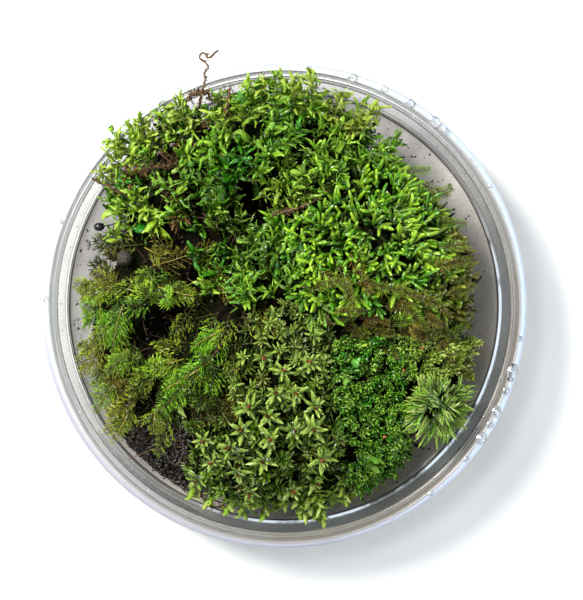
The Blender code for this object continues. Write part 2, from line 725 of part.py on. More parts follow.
make_patch("star_moss", STAR_REGION, pointed(2.4, 0.5, 43), star_shoots,
           material("star_moss", (0.22, 0.34, 0.08), 0.35), [GROOVES["red_stem"]])


# ================================================================ small-leaved turf, lower right
make_patch("turf_moss", TURF_REGION, blunt(2.8, 0.4, 59, 0.4), lambda bm: [],
           material("turf_moss", (0.05, 0.19, 0.02), 0.4))


# ================================================================ needle moss, far lower right
def needle_shoots(bm):
    """Sprays of long narrow leaves that spread like a pincushion."""
    # x, y of the middle and how far the leaves reach
    sprays = (
        (36.6, -24.4, 6.2), (32.8, -28.8, 4.4), (33.2, -21.0, 4.0), (40.6, -21.2, 4.4), (39.4, -28.4, 4.4),
    )
    for k, (x, y, reach) in enumerate(sprays):
        away = Vector((x - sprays[0][0], y - sprays[0][1], 5.0))
        whorl(bm, on_heap(x, y, 2.6), away, 8, reach, 7.4, valley=0.36, turn=k, lift=1.2)
    return [(x, y) for x, y, _ in sprays]


make_patch("needle_moss", NEEDLE_REGION, pointed(4.0, 0.6, 61), needle_shoots,
           material("needle_moss", (0.30, 0.50, 0.08), 0.4))


# ================================================================ dark soil under everything
def make_soil():
    """A flat mat of peaty soil and dead stems, with the bare bank of it that shows at the lower left."""
    bm = bmesh.new()
    bmesh.ops.create_cone(bm, cap_ends=True, segments=30, radius1=1.0, radius2=1.0,
                          depth=SOIL_TOP - SOIL_BOTTOM)
    for vertex in bm.verts:
        angle = math.degrees(math.atan2(vertex.co.y, vertex.co.x))
        lump = 1.2 * noise.noise(Vector((angle / 14.0, vertex.co.z, 0.5)))
        radius = outline_radius(angle) - 1.6 + lump
        vertex.co = Vector((radius * vertex.co.x, radius * vertex.co.y,
                            vertex.co.z + (SOIL_TOP + SOIL_BOTTOM) / 2))
    disc = cutter_object("soil_disc", mesh_from("soil_disc", bm))
    bank = heap_block("soil_bank")
    boolean(bank, "INTERSECT", region_prism("soil", SOIL_REGION, SOIL_TOP - 1.2))
    boolean(disc, "UNION", bank)
    mesh = largest_body(evaluated_mesh(disc))
    mesh.materials.clear()
    new_object("soil_mat", mesh, PARTS, material("dark_soil", (0.03, 0.02, 0.012), 0.9))


make_soil()


# ================================================================ small finds at the left edge
def make_capsule():
    """A black spore capsule on a thin curved stalk, held by the leafy moss."""
    route = eased_route([(-44.2, 19.3, 16.4), (-42.0, 19.6, 17.2), (-40.0, 20.2, 17.8)], 4)
    mesh = tube_mesh("spore_capsule", route, [0.5, 0.45, 0.45, 0.5])
    stalk = new_object("spore_capsule", mesh, PARTS, material("black_capsule", (0.01, 0.01, 0.01), 0.3))
    bm = bmesh.new()
    bmesh.ops.create_icosphere(bm, subdivisions=1, radius=1.2)
    bmesh.ops.scale(bm, vec=(1.15, 0.9, 0.9), verts=bm.verts)
    bmesh.ops.translate(bm, vec=(-44.9, 19.2, 16.1), verts=bm.verts)
    boolean(stalk, "UNION", cutter_object("capsule_bulb", mesh_from("capsule_bulb", bm)))


make_capsule()
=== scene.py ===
import bpy
import numpy as np
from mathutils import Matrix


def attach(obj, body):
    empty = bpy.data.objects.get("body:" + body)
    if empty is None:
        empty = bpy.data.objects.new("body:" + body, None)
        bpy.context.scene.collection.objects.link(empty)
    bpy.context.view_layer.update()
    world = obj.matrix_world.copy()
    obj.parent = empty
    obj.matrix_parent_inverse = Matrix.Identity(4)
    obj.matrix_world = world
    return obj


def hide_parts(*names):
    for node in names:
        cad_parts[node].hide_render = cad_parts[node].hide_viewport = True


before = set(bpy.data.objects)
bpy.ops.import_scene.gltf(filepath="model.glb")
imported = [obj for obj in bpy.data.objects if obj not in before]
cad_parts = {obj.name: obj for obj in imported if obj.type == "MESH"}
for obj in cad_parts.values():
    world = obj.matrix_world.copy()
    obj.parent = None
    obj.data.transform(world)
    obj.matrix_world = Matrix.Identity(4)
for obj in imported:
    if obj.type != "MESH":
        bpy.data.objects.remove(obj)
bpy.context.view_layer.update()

# ---------------------------------------------------------------- studio
# A pale sheet of card under the tub, a soft window light from the upper left, a small one near the ceiling
# and a weak one from the lower right. The camera looks straight down from half a metre, with the tub a
# little left of the middle.
MM = 0.001
TUB_TOP = 22.0
LENS_HEIGHT = 520.0
SENSOR = 36.0
PICTURE_TALL = 600
PIXEL = 0.24027            # millimetres at the lip of the tub
TUB_SHIFT = (7.63, 5.72)   # pixels from the tub's middle to the picture's, right and up

camera_data = bpy.data.cameras.new("camera")
camera_data.sensor_width = SENSOR
camera_data.lens = LENS_HEIGHT * SENSOR / (PIXEL * PICTURE_TALL)
camera_data.shift_x = TUB_SHIFT[0] / PICTURE_TALL
camera_data.shift_y = TUB_SHIFT[1] / PICTURE_TALL
camera_data.clip_start = 0.01
camera = bpy.data.objects.new("camera", camera_data)
camera.location = (0, 0, (TUB_TOP + LENS_HEIGHT) * MM)
bpy.context.scene.collection.objects.link(camera)
bpy.context.scene.camera = camera

for label, place, size, power, colour in (
        ("window_light", (-0.34, 0.26, 0.50), 0.30, 8.2, (1.0, 0.985, 0.96)),
        ("ceiling_light", (-0.13, 0.10, 0.62), 0.10, 0.7, (0.96, 0.98, 1.0)),
        ("side_light", (0.50, -0.34, 0.22), 0.22, 1.7, (0.84, 0.92, 1.0))):
    lamp = bpy.data.lights.new(label, "AREA")
    lamp.shape = "DISK"
    lamp.size = size
    lamp.energy = power
    lamp.color = colour
    light = bpy.data.objects.new(label, lamp)
    light.location = place
    light.rotation_euler = (-light.location).to_track_quat("-Z", "Y").to_euler()
    bpy.context.scene.collection.objects.link(light)

sky = bpy.data.worlds.new("soft_room")
sky.use_nodes = True
sky.node_tree.nodes["Background"].inputs["Color"].default_value = (0.90, 0.94, 0.98, 1.0)
sky.node_tree.nodes["Background"].inputs["Strength"].default_value = 0.68
bpy.context.scene.world = sky
bpy.context.scene.view_settings.view_transform = "Standard"
bpy.context.scene.view_settings.look = "None"


class Wash:
    """A value in a material. Sums, products and the like of it are Math nodes, and node() adds any other."""

    def __init__(self, tree, socket):
        self.tree = tree
        self.socket = socket

    def node(self, kind, values=None, pick=0, **settings):
        """A node of a type, with its settings, then its sockets' values or links; gives one of its
        outputs."""
        made = self.tree.nodes.new(kind)
        for key, value in settings.items():
            setattr(made, key, value)
        for key, value in (values or {}).items():
            if isinstance(value, Wash):
                self.tree.links.new(value.socket, made.inputs[key])
            else:
                made.inputs[key].default_value = value
        return Wash(self.tree, made.outputs[pick])

    def math(self, operation, first, second=0.0, clamp=False):
        """A Math node of two values."""
        return self.node("ShaderNodeMath", {0: first, 1: second}, operation=operation, use_clamp=clamp)

    def __add__(self, other):
        return self.math("ADD", self, other)

    def __sub__(self, other):
        return self.math("SUBTRACT", self, other)

    def __rsub__(self, other):
        return self.math("SUBTRACT", other, self)

    def __mul__(self, other):
        return self.math("MULTIPLY", self, other)

    __radd__ = __add__
    __rmul__ = __mul__

    def between(self, low, high):
        """0 below low, 1 above high, and a straight line between."""
        return self.math("MULTIPLY", self - low, 1 / (high - low), clamp=True)

    def below(self, low, high):
        """1 below low, 0 above high, and a straight line between."""
        return 1.0 - self.between(low, high)

    def along(self, *way):
        """How far places lie along a way."""
        return self.node("ShaderNodeVectorMath", {0: self, 1: way}, pick=1, operation="DOT_PRODUCT")

    def noise(self, scale, detail=3.0):
        """Cloudy noise about 0.5 over a place."""
        return self.node("ShaderNodeTexNoise", {"Vector": self, "Scale": scale, "Detail": detail})

    def blend(self, first, second):
        """One colour at 0 and the other at 1."""
        first, second = ((*c, 1.0) if isinstance(c, tuple) else c for c in (first, second))
        return self.node("ShaderNodeMix", {0: self, 6: first, 7: second}, pick=2, data_type="RGBA")

    def dimmed(self, *colour):
        """A colour times another."""
        return self.node("ShaderNodeMix", {0: 1.0, 6: self, 7: (*colour, 1)}, pick=2, data_type="RGBA",
                         blend_type="MULTIPLY")

    def bump(self, strength, distance):
        """The slopes of a surface that stands out by the value times a distance in metres."""
        return self.node("ShaderNodeBump", {"Height": self, "Strength": strength, "Distance": distance})


def finish_of(name):
    """A new material, with its object coordinates and its shader."""
    made = bpy.data.materials.new(name)
    made.use_nodes = True
    tree = made.node_tree
    place = Wash(tree, tree.nodes.new("ShaderNodeTexCoord").outputs["Object"])
    return made, place, tree.nodes["Principled BSDF"]


def set_finish(shader, **values):
    """Values or links for a shader's sockets, by their names with spaces as underscores."""
    for key, value in values.items():
        socket = shader.inputs[key.replace("_", " ")]
        if isinstance(value, Wash):
            value.tree.links.new(value.socket, socket)
        else:
            socket.default_value = (*value, 1.0) if isinstance(value, tuple) and len(value) == 3 else value


def overlay(made, shader, kind, share, **values):
    """Lays a shader of another kind over a material's own by a share, with values or links for its
    sockets."""
    tree = made.node_tree
    above = Wash(tree, tree.nodes.new(kind).outputs[0])
    set_finish(above.socket.node, **values)
    mixed = above.node("ShaderNodeMixShader", {0: share, 2: above})
    tree.links.new(shader.outputs[0], mixed.socket.node.inputs[1])
    tree.links.new(mixed.socket, tree.nodes["Material Output"].inputs[0])


def shade(red, green, blue):
    """A colour as it looks on a screen, 0 to 255, as the light that it reflects, 0 to 1."""
    seen = np.array((red, green, blue)) / 255
    return tuple(np.where(seen <= 0.04045, seen / 12.92, ((seen + 0.055) / 1.055) ** 2.4))


card, place, shader = finish_of("pale_card")
set_finish(shader, Base_Color=(0.80, 0.80, 0.79), Roughness=0.7)
sheet = bpy.data.meshes.new("card_floor")
under = -0.1 * MM
sheet.from_pydata([(-2, -2, under), (2, -2, under), (2, 2, under), (-2, 2, under)], [], [(0, 1, 2, 3)])
floor = bpy.data.objects.new("card_floor", sheet)
sheet.materials.append(card)
bpy.context.scene.collection.objects.link(floor)


# ---------------------------------------------------------------- clear tub
# A shallow round food tub, pressed in one piece from clear plastic 0.8 mm thick: flat floor, slightly
# drafted wall, a ledge for a lid and a lip rolled outwards. The clump only rests in it, and a wet film of
# silt has settled on its floor. Light and shade are painted into the silt, the wall and the lip.
TUB_SIDES = 192
# the wall's section as radius and height, out along the underside, up the outside and back down the inside
SHELL = (
    (0.0, 0.0), (53.1, 0.0), (54.05, 0.6), (54.6, 2.4), (55.2, 17.2), (56.3, 17.8), (56.5, 20.9),
    (56.9, 21.4), (57.5, 21.6), (57.9, 21.3), (58.1, 20.7), (58.0, 19.1), (58.4, 19.1), (58.5, 20.9),
    (58.1, 21.7), (57.3, 22.0), (56.5, 21.8), (56.1, 21.1), (55.9, 18.2), (54.8, 17.6), (54.2, 2.6),
    (53.7, 1.2), (52.8, 0.8), (0.0, 0.8))


def eased(points, steps, radius):
    """A line of points with each corner turned into a curve: a parabola from radius before it to radius
    after."""
    points = np.array(points, float)
    corner, before, after = points[1:-1], points[:-2], points[2:]
    back, on = before - corner, after - corner
    long_back = np.linalg.norm(back, axis=1, keepdims=True)
    long_on = np.linalg.norm(on, axis=1, keepdims=True)
    start = corner + back * np.minimum(0.5, radius / long_back)
    end = corner + on * np.minimum(0.5, radius / long_on)
    t = np.linspace(0, 1, steps)[None, :, None]
    curve = start[:, None] * (1 - t) ** 2 + 2 * corner[:, None] * t * (1 - t) + end[:, None] * t ** 2
    return np.concatenate([points[:1], curve.reshape(-1, points.shape[1]), points[-1:]])


def lofts(rings, first, last, tints):
    """Closed shapes. Each is a row of rings of points, which run anticlockwise about the way it goes, with a
    point at each end. Four neighbours make a face, and each end point makes a fan with the ring beside
    it."""
    count, rows, around = rings.shape[:3]
    points = np.concatenate([first[:, None], rings.reshape(count, rows * around, 3), last[:, None]], 1)
    here = np.arange(around)
    beside = (here + 1) % around
    row = 1 + around * np.arange(rows - 1)[:, None]
    beside_row = row + beside
    fours = np.stack([row + here, beside_row, beside_row + around, row + here + around], -1).reshape(-1, 4)
    end = rows * around + 1
    threes = np.concatenate([
        np.stack([0 * here, 1 + beside, 1 + here], -1),
        np.stack([0 * here + end, end - around + here, end - around + beside], -1)])
    shift = (np.arange(count) * (end + 1))[:, None, None]
    threes, fours = (threes + shift).reshape(-1, 3), (fours + shift).reshape(-1, 4)
    return points.reshape(-1, 3), threes, fours, np.broadcast_to(tints, points.shape).reshape(-1, 3)


def piece(name, shapes, finish, slot, *nodes):
    """One object from a list of lofts in millimetres, with its finish and the nodes it stands for. Its slot
    is not used."""
    starts = np.cumsum([0] + [len(shape[0]) for shape in shapes])
    points = np.concatenate([shape[0] for shape in shapes]) * MM
    tints = np.concatenate([shape[3] for shape in shapes])
    threes = np.concatenate([shape[1] + start for shape, start in zip(shapes, starts)])
    fours = np.concatenate([shape[2] + start for shape, start in zip(shapes, starts)])
    corners = np.concatenate([threes.ravel(), fours.ravel()])
    sizes = np.repeat([3, 4], [len(threes), len(fours)])
    mesh = bpy.data.meshes.new(name)
    mesh.vertices.add(len(points))
    mesh.vertices.foreach_set("co", points.ravel())
    mesh.loops.add(len(corners))
    mesh.loops.foreach_set("vertex_index", corners.astype(np.int32))
    mesh.polygons.add(len(sizes))
    mesh.polygons.foreach_set("loop_start", (np.cumsum(sizes) - sizes).astype(np.int32))
    mesh.polygons.foreach_set("use_smooth", np.ones(len(sizes), bool))
    colour = mesh.attributes.new("tint", "FLOAT_COLOR", "POINT")
    colour.data.foreach_set("color", np.c_[np.clip(tints, 0, 1), np.ones(len(tints))].ravel())
    mesh.update(calc_edges=True)
    mesh.validate()
    mesh.materials.append(finish)
    made = bpy.data.objects.new(name, mesh)
    bpy.context.scene.collection.objects.link(made)
    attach(made, "root")
    if nodes:
        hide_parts(*nodes)
    print(name, len(threes) + 2 * len(fours), "triangles")
    return made


def turns(count):
    """Bearings evenly round a circle, in radians."""
    return np.arange(count) * 2 * np.pi / count


def xyz(x, y, z):
    """Places or ways from their three parts, each one number or one for each place."""
    return np.stack(np.broadcast_arrays(x, y, z), -1)


def polar(bearing, far=1.0, z=0.0):
    """Places or ways at a bearing from +X, in radians, and a distance out, at a height z."""
    return xyz(far * np.cos(bearing), far * np.sin(bearing), z)


def turned(profile, sides):
    """A turned shape: the profile (radius, height) carried round the upright axis, its ends on the axis."""
    radius, height = np.array(profile[1:-1]).T[:, :, None]
    ends = [np.array([[0, 0, profile[k][1]]]) for k in (0, -1)]
    return lofts(polar(turns(sides), radius, height)[None], *ends, np.ones(3))


plastic, place, shader = finish_of("clear_plastic")
out = place.node("ShaderNodeVectorMath", {0: place, 1: (1, 1, 0)}, operation="MULTIPLY")
out = out.node("ShaderNodeVectorMath", {0: out}, pick=1, operation="LENGTH")
height = place.node("ShaderNodeSeparateXYZ", {0: place}, pick=2)
lower_right = place.along(0.707, -0.707, 0)
lower_left = place.along(-0.5, -0.866, 0)
cloudy = place.noise(55, 6).between(0.30, 0.72)
fine = place.noise(1500, 4).between(0.35, 0.75)
grain = cloudy * 0.6 + fine * 0.4
# silt on the floor, pale at the upper left, darker and browner towards the lower right as painted shade,
# a painted dark line of shade in the corner of the floor, and a pale dull lip with painted light
brown = place.along(0.6, -0.8, 0).between(-0.020, 0.046)
film = brown.blend(grain.blend(shade(206, 200, 193), shade(240, 235, 229)),
                   grain.blend(shade(110, 102, 84), shade(152, 142, 118)))
corner = out.between(0.05325, 0.05345) * out.below(0.05365, 0.05385) * height.below(0.0022, 0.0026)
low = height.below(0.0012, 0.0024)
high = height.between(0.0172, 0.0176)
set_finish(shader, Base_Color=(0.93, 0.935, 0.94), Transmission_Weight=1.0, IOR=1.46,
           Roughness=place.noise(900).between(0.3, 0.8) * 0.06 + 0.02 + high * 0.2)
on_lip = out.between(0.0568, 0.0574)
# painted light on the ledge and lip: the lip's outer half is a pale blue-white painted reflection, greyer at
# the lower left, and inside it the plastic is white at the upper left and brown-grey at the lower right
painted_lip_light = lower_left.between(0.0, 0.045).blend(shade(206, 221, 242), shade(172, 172, 184))
painted_wall_light = lower_right.between(-0.045, 0.046).blend(shade(246, 247, 250), shade(138, 131, 122))
painted_wall_light = on_lip.blend(painted_wall_light, painted_lip_light)
# a painted highlight: a broken white line at the foot of the wall at the lower right, which also glows
painted_highlight = out.between(0.05365, 0.0538) * height.below(0.0024, 0.0030) * lower_right.between(0.015, 0.036)
painted_highlight = painted_highlight * place.noise(160, 4).between(0.36, 0.50)
# a dark grimy tone on the wall, laid on thickly only towards the lower right, where it is painted shade
wall = height.between(0.0026, 0.003) * height.below(0.0168, 0.0172)
painted_wall_light = wall.blend(painted_wall_light, fine.blend(shade(20, 24, 14), shade(92, 98, 76)))
tone = painted_highlight.blend(low.blend(painted_wall_light, corner.blend(film, shade(52, 48, 42))), shade(236, 243, 248))
on_floor = height.between(0.0003, 0.0006) * low * out.below(0.0535, 0.0545)
lower_sides = lower_right.math("MAXIMUM", lower_right.between(-0.03, 0.01), lower_left.between(-0.02, 0.03))
# how much of the plastic the painted tone covers: the silt, the painted shade in the corner and on the
# wall, the painted highlight, and the painted light on the lip, more of it towards the lower sides
veil = (on_floor * (cloudy * 0.2 + 0.66) + corner * 0.5 + high * (lower_sides * 0.36 + 0.03)
        + on_lip * (lower_sides * 0.2 + 0.03) + fine * 0.04 + 0.01 + painted_highlight * 0.8 + wall * brown * 0.36)
# the crest of the lip takes more pale painted light at the upper left; the lip's outer side stays clear
veil = veil + height.between(0.02165, 0.0218) * (1.0 - lower_sides) * 0.3
veil = veil * (1.0 - out.between(0.0579, 0.0582) * height.below(0.0200, 0.0212) * 0.85)
# the painted highlight also glows, by emission
overlay(plastic, shader, "ShaderNodeBsdfPrincipled", veil.math("MINIMUM", veil, 0.92), Base_Color=tone,
        Roughness=cloudy * 0.25 + 0.25, Emission_Strength=1.0,
        Emission_Color=painted_highlight.blend((0.0, 0.0, 0.0), (0.62, 0.70, 0.76)))
piece("tub", [turned(eased(SHELL, 5, 0.9), TUB_SIDES)], plastic, "clear_plastic", "clear_tub")


# ---------------------------------------------------------------- the heap
# Under the green the clump is a mound of old brown stems on a mat of wet peaty soil. The mosses are rooted
# on it, each in its own region, and it is bare in the hollows and on the bank at the lower left.

# the clump's radius every 15 degrees, and hills and hollows: x, y, rise and radius
RIM = np.array((
    43.5, 45.0, 43.5, 42.5, 44.0, 47.0, 48.5, 48.0, 48.5, 48.5, 45.0, 43.0, 47.5, 49.0, 49.5, 48.5, 48.0,
    49.5, 48.5, 49.5, 48.0, 46.0, 48.0, 46.5))
HILLS = np.array((
    (-7, 37, 6, 13), (-33, 33, 7, 12), (-10, 49, 9, 11), (10, 46, 5, 10), (27, 17, 8, 16), (37, 2, 3, 9),
    (36, -25, 8, 8), (3, -24, 5, 12), (-8, -37, 6, 11), (14, -36, 3, 9), (-23, -20, 5, 9), (-38, -4, 4, 10),
    (-7.5, 23, -17, 6.5), (-28, -6, -13, 5), (-18, 7, -10, 5), (-26, 19, -9, 6), (-31, -32, -6, 8),
    (18, -9, -4, 7), (11, -41, -3, 4)), float)
EDGE_TOP, CROWN_TOP, MOSS_FOOT, SOIL_FOOT = 14.0, 31.0, 9.3, 1.1
PAST_RIM = 64
# the lines where two mosses meet
SEAMS = dict(
    leafy_catkin=((26.3, 39.2), (18.5, 33.3), (12.1, 27.8), (3.8, 23.1), (-5.2, 19.8)),
    lobe_catkin=((-5.2, 19.8), (0.3, 15.5), (1.9, 8.5), (1.5, 1.4)),
    lobe_star=((1.5, 1.4), (-5.2, -0.5)),
    lobe_feather=((-5.2, -0.5), (-11.6, 1.4), (-14.6, 6.1), (-16.3, 12.0), (-18.7, 15.5)),
    leafy_feather=((-18.7, 15.5), (-28.1, 14.6), (-36.4, 15.5), (-45.4, 15.5)),
    catkin_strand=((1.5, 1.4), (7.4, -2.6), (13.3, -2.0), (20.4, -0.1), (28.7, 0.6), (36.9, -2.9),
                   (46.4, -3.9)),
    strand_star=((1.5, 1.4), (10.9, -6.9)),
    strand_turf=((10.9, -6.9), (19.0, -7.6), (27.5, -7.2), (36.9, -9.3), (46.4, -8.2)),
    star_turf=((18.0, -44.1), (14.5, -40.2), (15.6, -34.1), (12.1, -27.0), (10.9, -17.6), (10.2, -11.5),
               (10.9, -6.9)),
    turf_needle=((46.9, -16.4), (36.9, -16.4), (29.1, -18.8), (28.2, -27.0), (30.3, -34.1), (31.0, -38.9)),
    feather_star=((-5.2, -0.5), (-9.2, -5.7), (-12.3, -11.7), (-13.9, -22.3), (-22.2, -28.2)),
    feather_soil=((-22.2, -28.2), (-33.0, -27.0), (-44.7, -27.6)),
    star_soil=((-22.7, -46.0), (-23.4, -38.9), (-22.2, -28.2)))


def joined(*parts):
    """A region's outline: seams by name, turned round where the name has a minus, and arcs by their
    bearings."""
    line = []
    for part in parts:
        if isinstance(part, str):
            line += SEAMS[part.strip("-")][::-1 if part[0] == "-" else 1]
        else:
            line += list(polar(np.radians(np.linspace(*part, 6)), PAST_RIM)[:, :2])
    return np.array(line)


LEAFY = joined("leafy_catkin", "lobe_catkin", "lobe_star", "lobe_feather", "leafy_feather", (161, 56))
CATKIN = joined("leafy_catkin", "lobe_catkin", "catkin_strand", (-5, 56))
STRANDS = joined("catkin_strand", (-5, -10), "-strand_turf", "-strand_star")
FEATHER = joined("-leafy_feather", "-lobe_feather", "feather_star", "feather_soil", (-148.3, -199))
STAR = joined("-lobe_star", "strand_star", "-star_turf", (-67.8, -116.3), "star_soil", "-feather_star")
TURF = joined("strand_turf", (-10, -19.3), "turf_needle", (-51.4, -67.8), "star_turf")
BANK = joined("-feather_soil", "-star_soil", (-116.3, -148.3))


def within(region, x, y):
    """Whether places lie in a region: a line to the right of such a place crosses an odd number of sides."""
    x, y = np.asarray(x)[..., None], np.asarray(y)[..., None]
    ax, ay = region.T
    bx, by = np.roll(region, 1, 0).T
    with np.errstate(divide="ignore", invalid="ignore"):
        crosses = ((ay > y) != (by > y)) & (x < (bx - ax) * (y - ay) / (by - ay) + ax)
    return crosses.sum(-1) % 2 == 1


def rim(x, y):
    """The clump's radius on the bearing of a place: it eases from one radius to the next."""
    along = np.degrees(np.arctan2(y, x)) % 360 / 360 * len(RIM)
    first = np.floor(along).astype(int)
    share = along - first
    share = share * share * (3 - 2 * share)
    return RIM[first % len(RIM)] * (1 - share) + RIM[(first + 1) % len(RIM)] * share


def inside(x, y, inset):
    """Whether places lie inside the rim by more than an inset."""
    return np.hypot(x, y) < rim(x, y) - inset


def ripple(x, y, size, seed):
    """Soft random waves from about -1 to 1: seven sines across the plane, each with its own way and
    length."""
    dice = np.random.default_rng(seed)
    way, start, wave = dice.uniform(0, 2 * np.pi, (3, 7))
    length = size * (0.6 + 0.15 * wave)
    x, y = np.asarray(x)[..., None], np.asarray(y)[..., None]
    return np.sin(2 * np.pi * (x * np.cos(way) + y * np.sin(way)) / length + start).sum(-1) / 3.5


def heap(x, y):
    """Height of the mosses: a dome that falls to the rim as (1 - r³)^0.8, with bell-shaped hills and
    hollows."""
    out = np.minimum(np.hypot(x, y) / rim(x, y), 1)
    height = EDGE_TOP + (CROWN_TOP - EDGE_TOP) * (1 - out ** 3) ** 0.8
    for hill_x, hill_y, rise, radius in HILLS:
        height = height + rise * np.exp(-((x - hill_x) ** 2 + (y - hill_y) ** 2) / radius ** 2)
    return np.maximum(height + 0.8 * ripple(x, y, 12, 5), MOSS_FOOT + 1.5)


def on_heap(x, y, lift):
    """Places at a lift over the heap."""
    return xyz(x, y, heap(x, y) + lift)


def unit(rows):
    """Ways with their length made 1."""
    return rows / np.maximum(np.linalg.norm(rows, axis=-1, keepdims=True), 1e-9)


def slope(x, y):
    """The way straight out of the heap, from its rise over a millimetre and a half each way."""
    step = 1.5
    east = (heap(x + step, y) - heap(x - step, y)) / (2 * step)
    north = (heap(x, y + step) - heap(x, y - step)) / (2 * step)
    return unit(np.stack([-east, -north, np.ones_like(east)], -1))


def mound(top_of, foot, inset, rough, seed, around=180, wall=8, rows=38):
    """A closed lumpy mound: up a wall inside the rim, then in over its top in rows that shrink to the
    middle."""
    turn = turns(around)
    edge = rim(np.cos(turn), np.sin(turn)) - inset
    edge = edge + rough * ripple(edge * np.cos(turn), edge * np.sin(turn), 4, seed)
    share = np.r_[np.linspace(0.3, 1, 4)[:-1], np.ones(wall), np.linspace(1, 0.02, rows)[1:]][:, None]
    x, y = share * edge * np.cos(turn), share * edge * np.sin(turn)
    top = top_of(x, y) + rough * (ripple(x, y, 2.6, seed + 1) + 0.6 * ripple(x, y, 1.2, seed + 2))
    lift = np.r_[np.zeros(3), np.linspace(0, 1, wall), np.ones(rows - 1)][:, None]
    bulge = 1 + rough * 0.02 * np.sin(lift * np.pi) * ripple(8 * turn, 30 * lift, 2, seed + 3)
    rings = xyz(x * bulge, y * bulge, foot + (top - foot) * lift)[None]
    return lofts(rings, np.array([[0.0, 0, foot]]), np.array([[0, 0, top[-1].mean()]]), np.ones(3))


def soil_top(x, y):
    """Flat under the mosses; on the bare bank nearly as high as the heap."""
    return np.where(within(BANK, x, y), heap(x, y) - 1.4, 8.4)


def stems_top(x, y):
    """The old stems lie a little under the mosses' own tops."""
    return heap(x, y) - 4.2


soil, place, shader = finish_of("wet_soil")
lumps = place.noise(420, 5)
wet = place.noise(1300, 3).between(0.45, 0.62)
set_finish(shader, Roughness=0.85 - wet * 0.4, Specular_IOR_Level=0.08, Normal=lumps.bump(0.9, 0.0006),
           Base_Color=lumps.between(0.35, 0.7).blend(shade(6, 5, 4), shade(32, 24, 16)))
piece("soil", [mound(soil_top, SOIL_FOOT, 1.2, 0.5, 21)], soil, "dark_soil", "soil_mat")

litter, place, shader = finish_of("old_brown_stems")
fibre = place.noise(700, 6)
patch = place.noise(160, 3).between(0.4, 0.65)
brown = fibre.between(0.35, 0.7).blend(shade(5, 4, 3), shade(27, 19, 10))
green = fibre.between(0.3, 0.7).blend(shade(5, 8, 3), shade(18, 26, 6))
set_finish(shader, Roughness=0.9, Specular_IOR_Level=0.05, Normal=fibre.bump(1.0, 0.0008),
           Base_Color=patch.blend(brown, green))
piece("old_stems", [mound(stems_top, MOSS_FOOT, 2.4, 0.9, 31)], litter, "dark_soil", "leafy_moss",
      "catkin_moss", "feather_moss", "star_moss", "turf_moss", "needle_moss", "trailing_strands")


# ---------------------------------------------------------------- leafy moss, upper left and top
# Arching shoots with broad thin leaves, glossy and wet, that curl like sickles, bright green at the tips,
# dark and brown below, and darker still with painted shade deeper in the clump. They root in the old stems,
# and the outermost are yellower and arch over the lip of the tub.
GOLDEN = np.radians(137.5)
GRID_REACH = 60                     # how far the grid of feet goes from the middle, past the rim
DEEP_HOLLOW, DEEPEST = -8, -16      # the rise below which a hollow stays bare, and bare beyond its radius
SIDE_RADIUS, SIDE_TALL = 46, 10     # rough measures of the clump's steep side


def strew(region, spacing, dice, inset=1.5, shy=0.0):
    """Places about a spacing apart on a jittered grid, inside a region, inside the rim and out of the
    hollows. shy is the share of a hollow's radius that stays bare."""
    steps = int(GRID_REACH / spacing)
    row, column = np.mgrid[-steps:steps + 1, -steps:steps + 1]
    jitter = dice.uniform(-0.42, 0.42, (2, *row.shape))
    x = ((column + 0.5 * (row % 2) + jitter[0]) * spacing).ravel()
    y = ((row * 0.87 + jitter[1]) * spacing).ravel()
    keep = within(region, x, y) & inside(x, y, inset)
    for hill_x, hill_y, rise, radius in HILLS[HILLS[:, 2] < DEEP_HOLLOW]:
        keep &= np.hypot(x - hill_x, y - hill_y) > radius * shy * (1.25 if rise < DEEPEST else 1)
    return x[keep], y[keep]


def edge_places(region, spacing, dice, low=7.0):
    """Places on the steep side of the clump, about a spacing apart, from low up to the heap's own edge."""
    levels = max(1, int(SIDE_TALL / spacing))
    turn, level = np.meshgrid(turns(int(2 * np.pi * SIDE_RADIUS / spacing)), np.arange(levels))
    turn = (turn + dice.uniform(-0.5, 0.5, turn.shape) * spacing / SIDE_RADIUS).ravel()
    level = ((level + dice.uniform(0, 1, level.shape)) / levels).ravel()
    x, y, _ = polar(turn, rim(np.cos(turn), np.sin(turn)) - 2.2).T
    keep = within(region, x, y)
    x, y, level = x[keep], y[keep], level[keep]
    return xyz(x, y, low + (heap(x, y) - low - 1) * level)


def outward(side, up, stray, dice):
    """Ways out of the clump's steep side: away from its axis, up by up, and astray, all in millimetres."""
    return unit(xyz(side[:, 0], side[:, 1], up) + stray * dice.normal(size=side.shape))


def flanked(foot, heading, region, spacing, low, up, stray, dice):
    """Feet and headings, with more of them on a region's steep side."""
    side = edge_places(region, spacing, dice, low)
    return np.concatenate([foot, side]), np.concatenate([heading, outward(side, up, stray, dice)])


def on_shoot(foot, heading, length, sag, share):
    """Places at shares of shoots, and the ways they run there: foot + length (share heading + share²
    sag)."""
    share = np.broadcast_to(share, (len(foot), np.shape(share)[-1]))[..., None]
    length = np.reshape(length, (-1, 1, 1))
    place = foot[:, None] + length * (share * heading[:, None] + share ** 2 * sag[:, None])
    return place, unit(heading[:, None] + 2 * share * sag[:, None])


THREAD = ((0.02, 1.0), (0.35, 0.9), (0.7, 0.75), (0.97, 0.5))


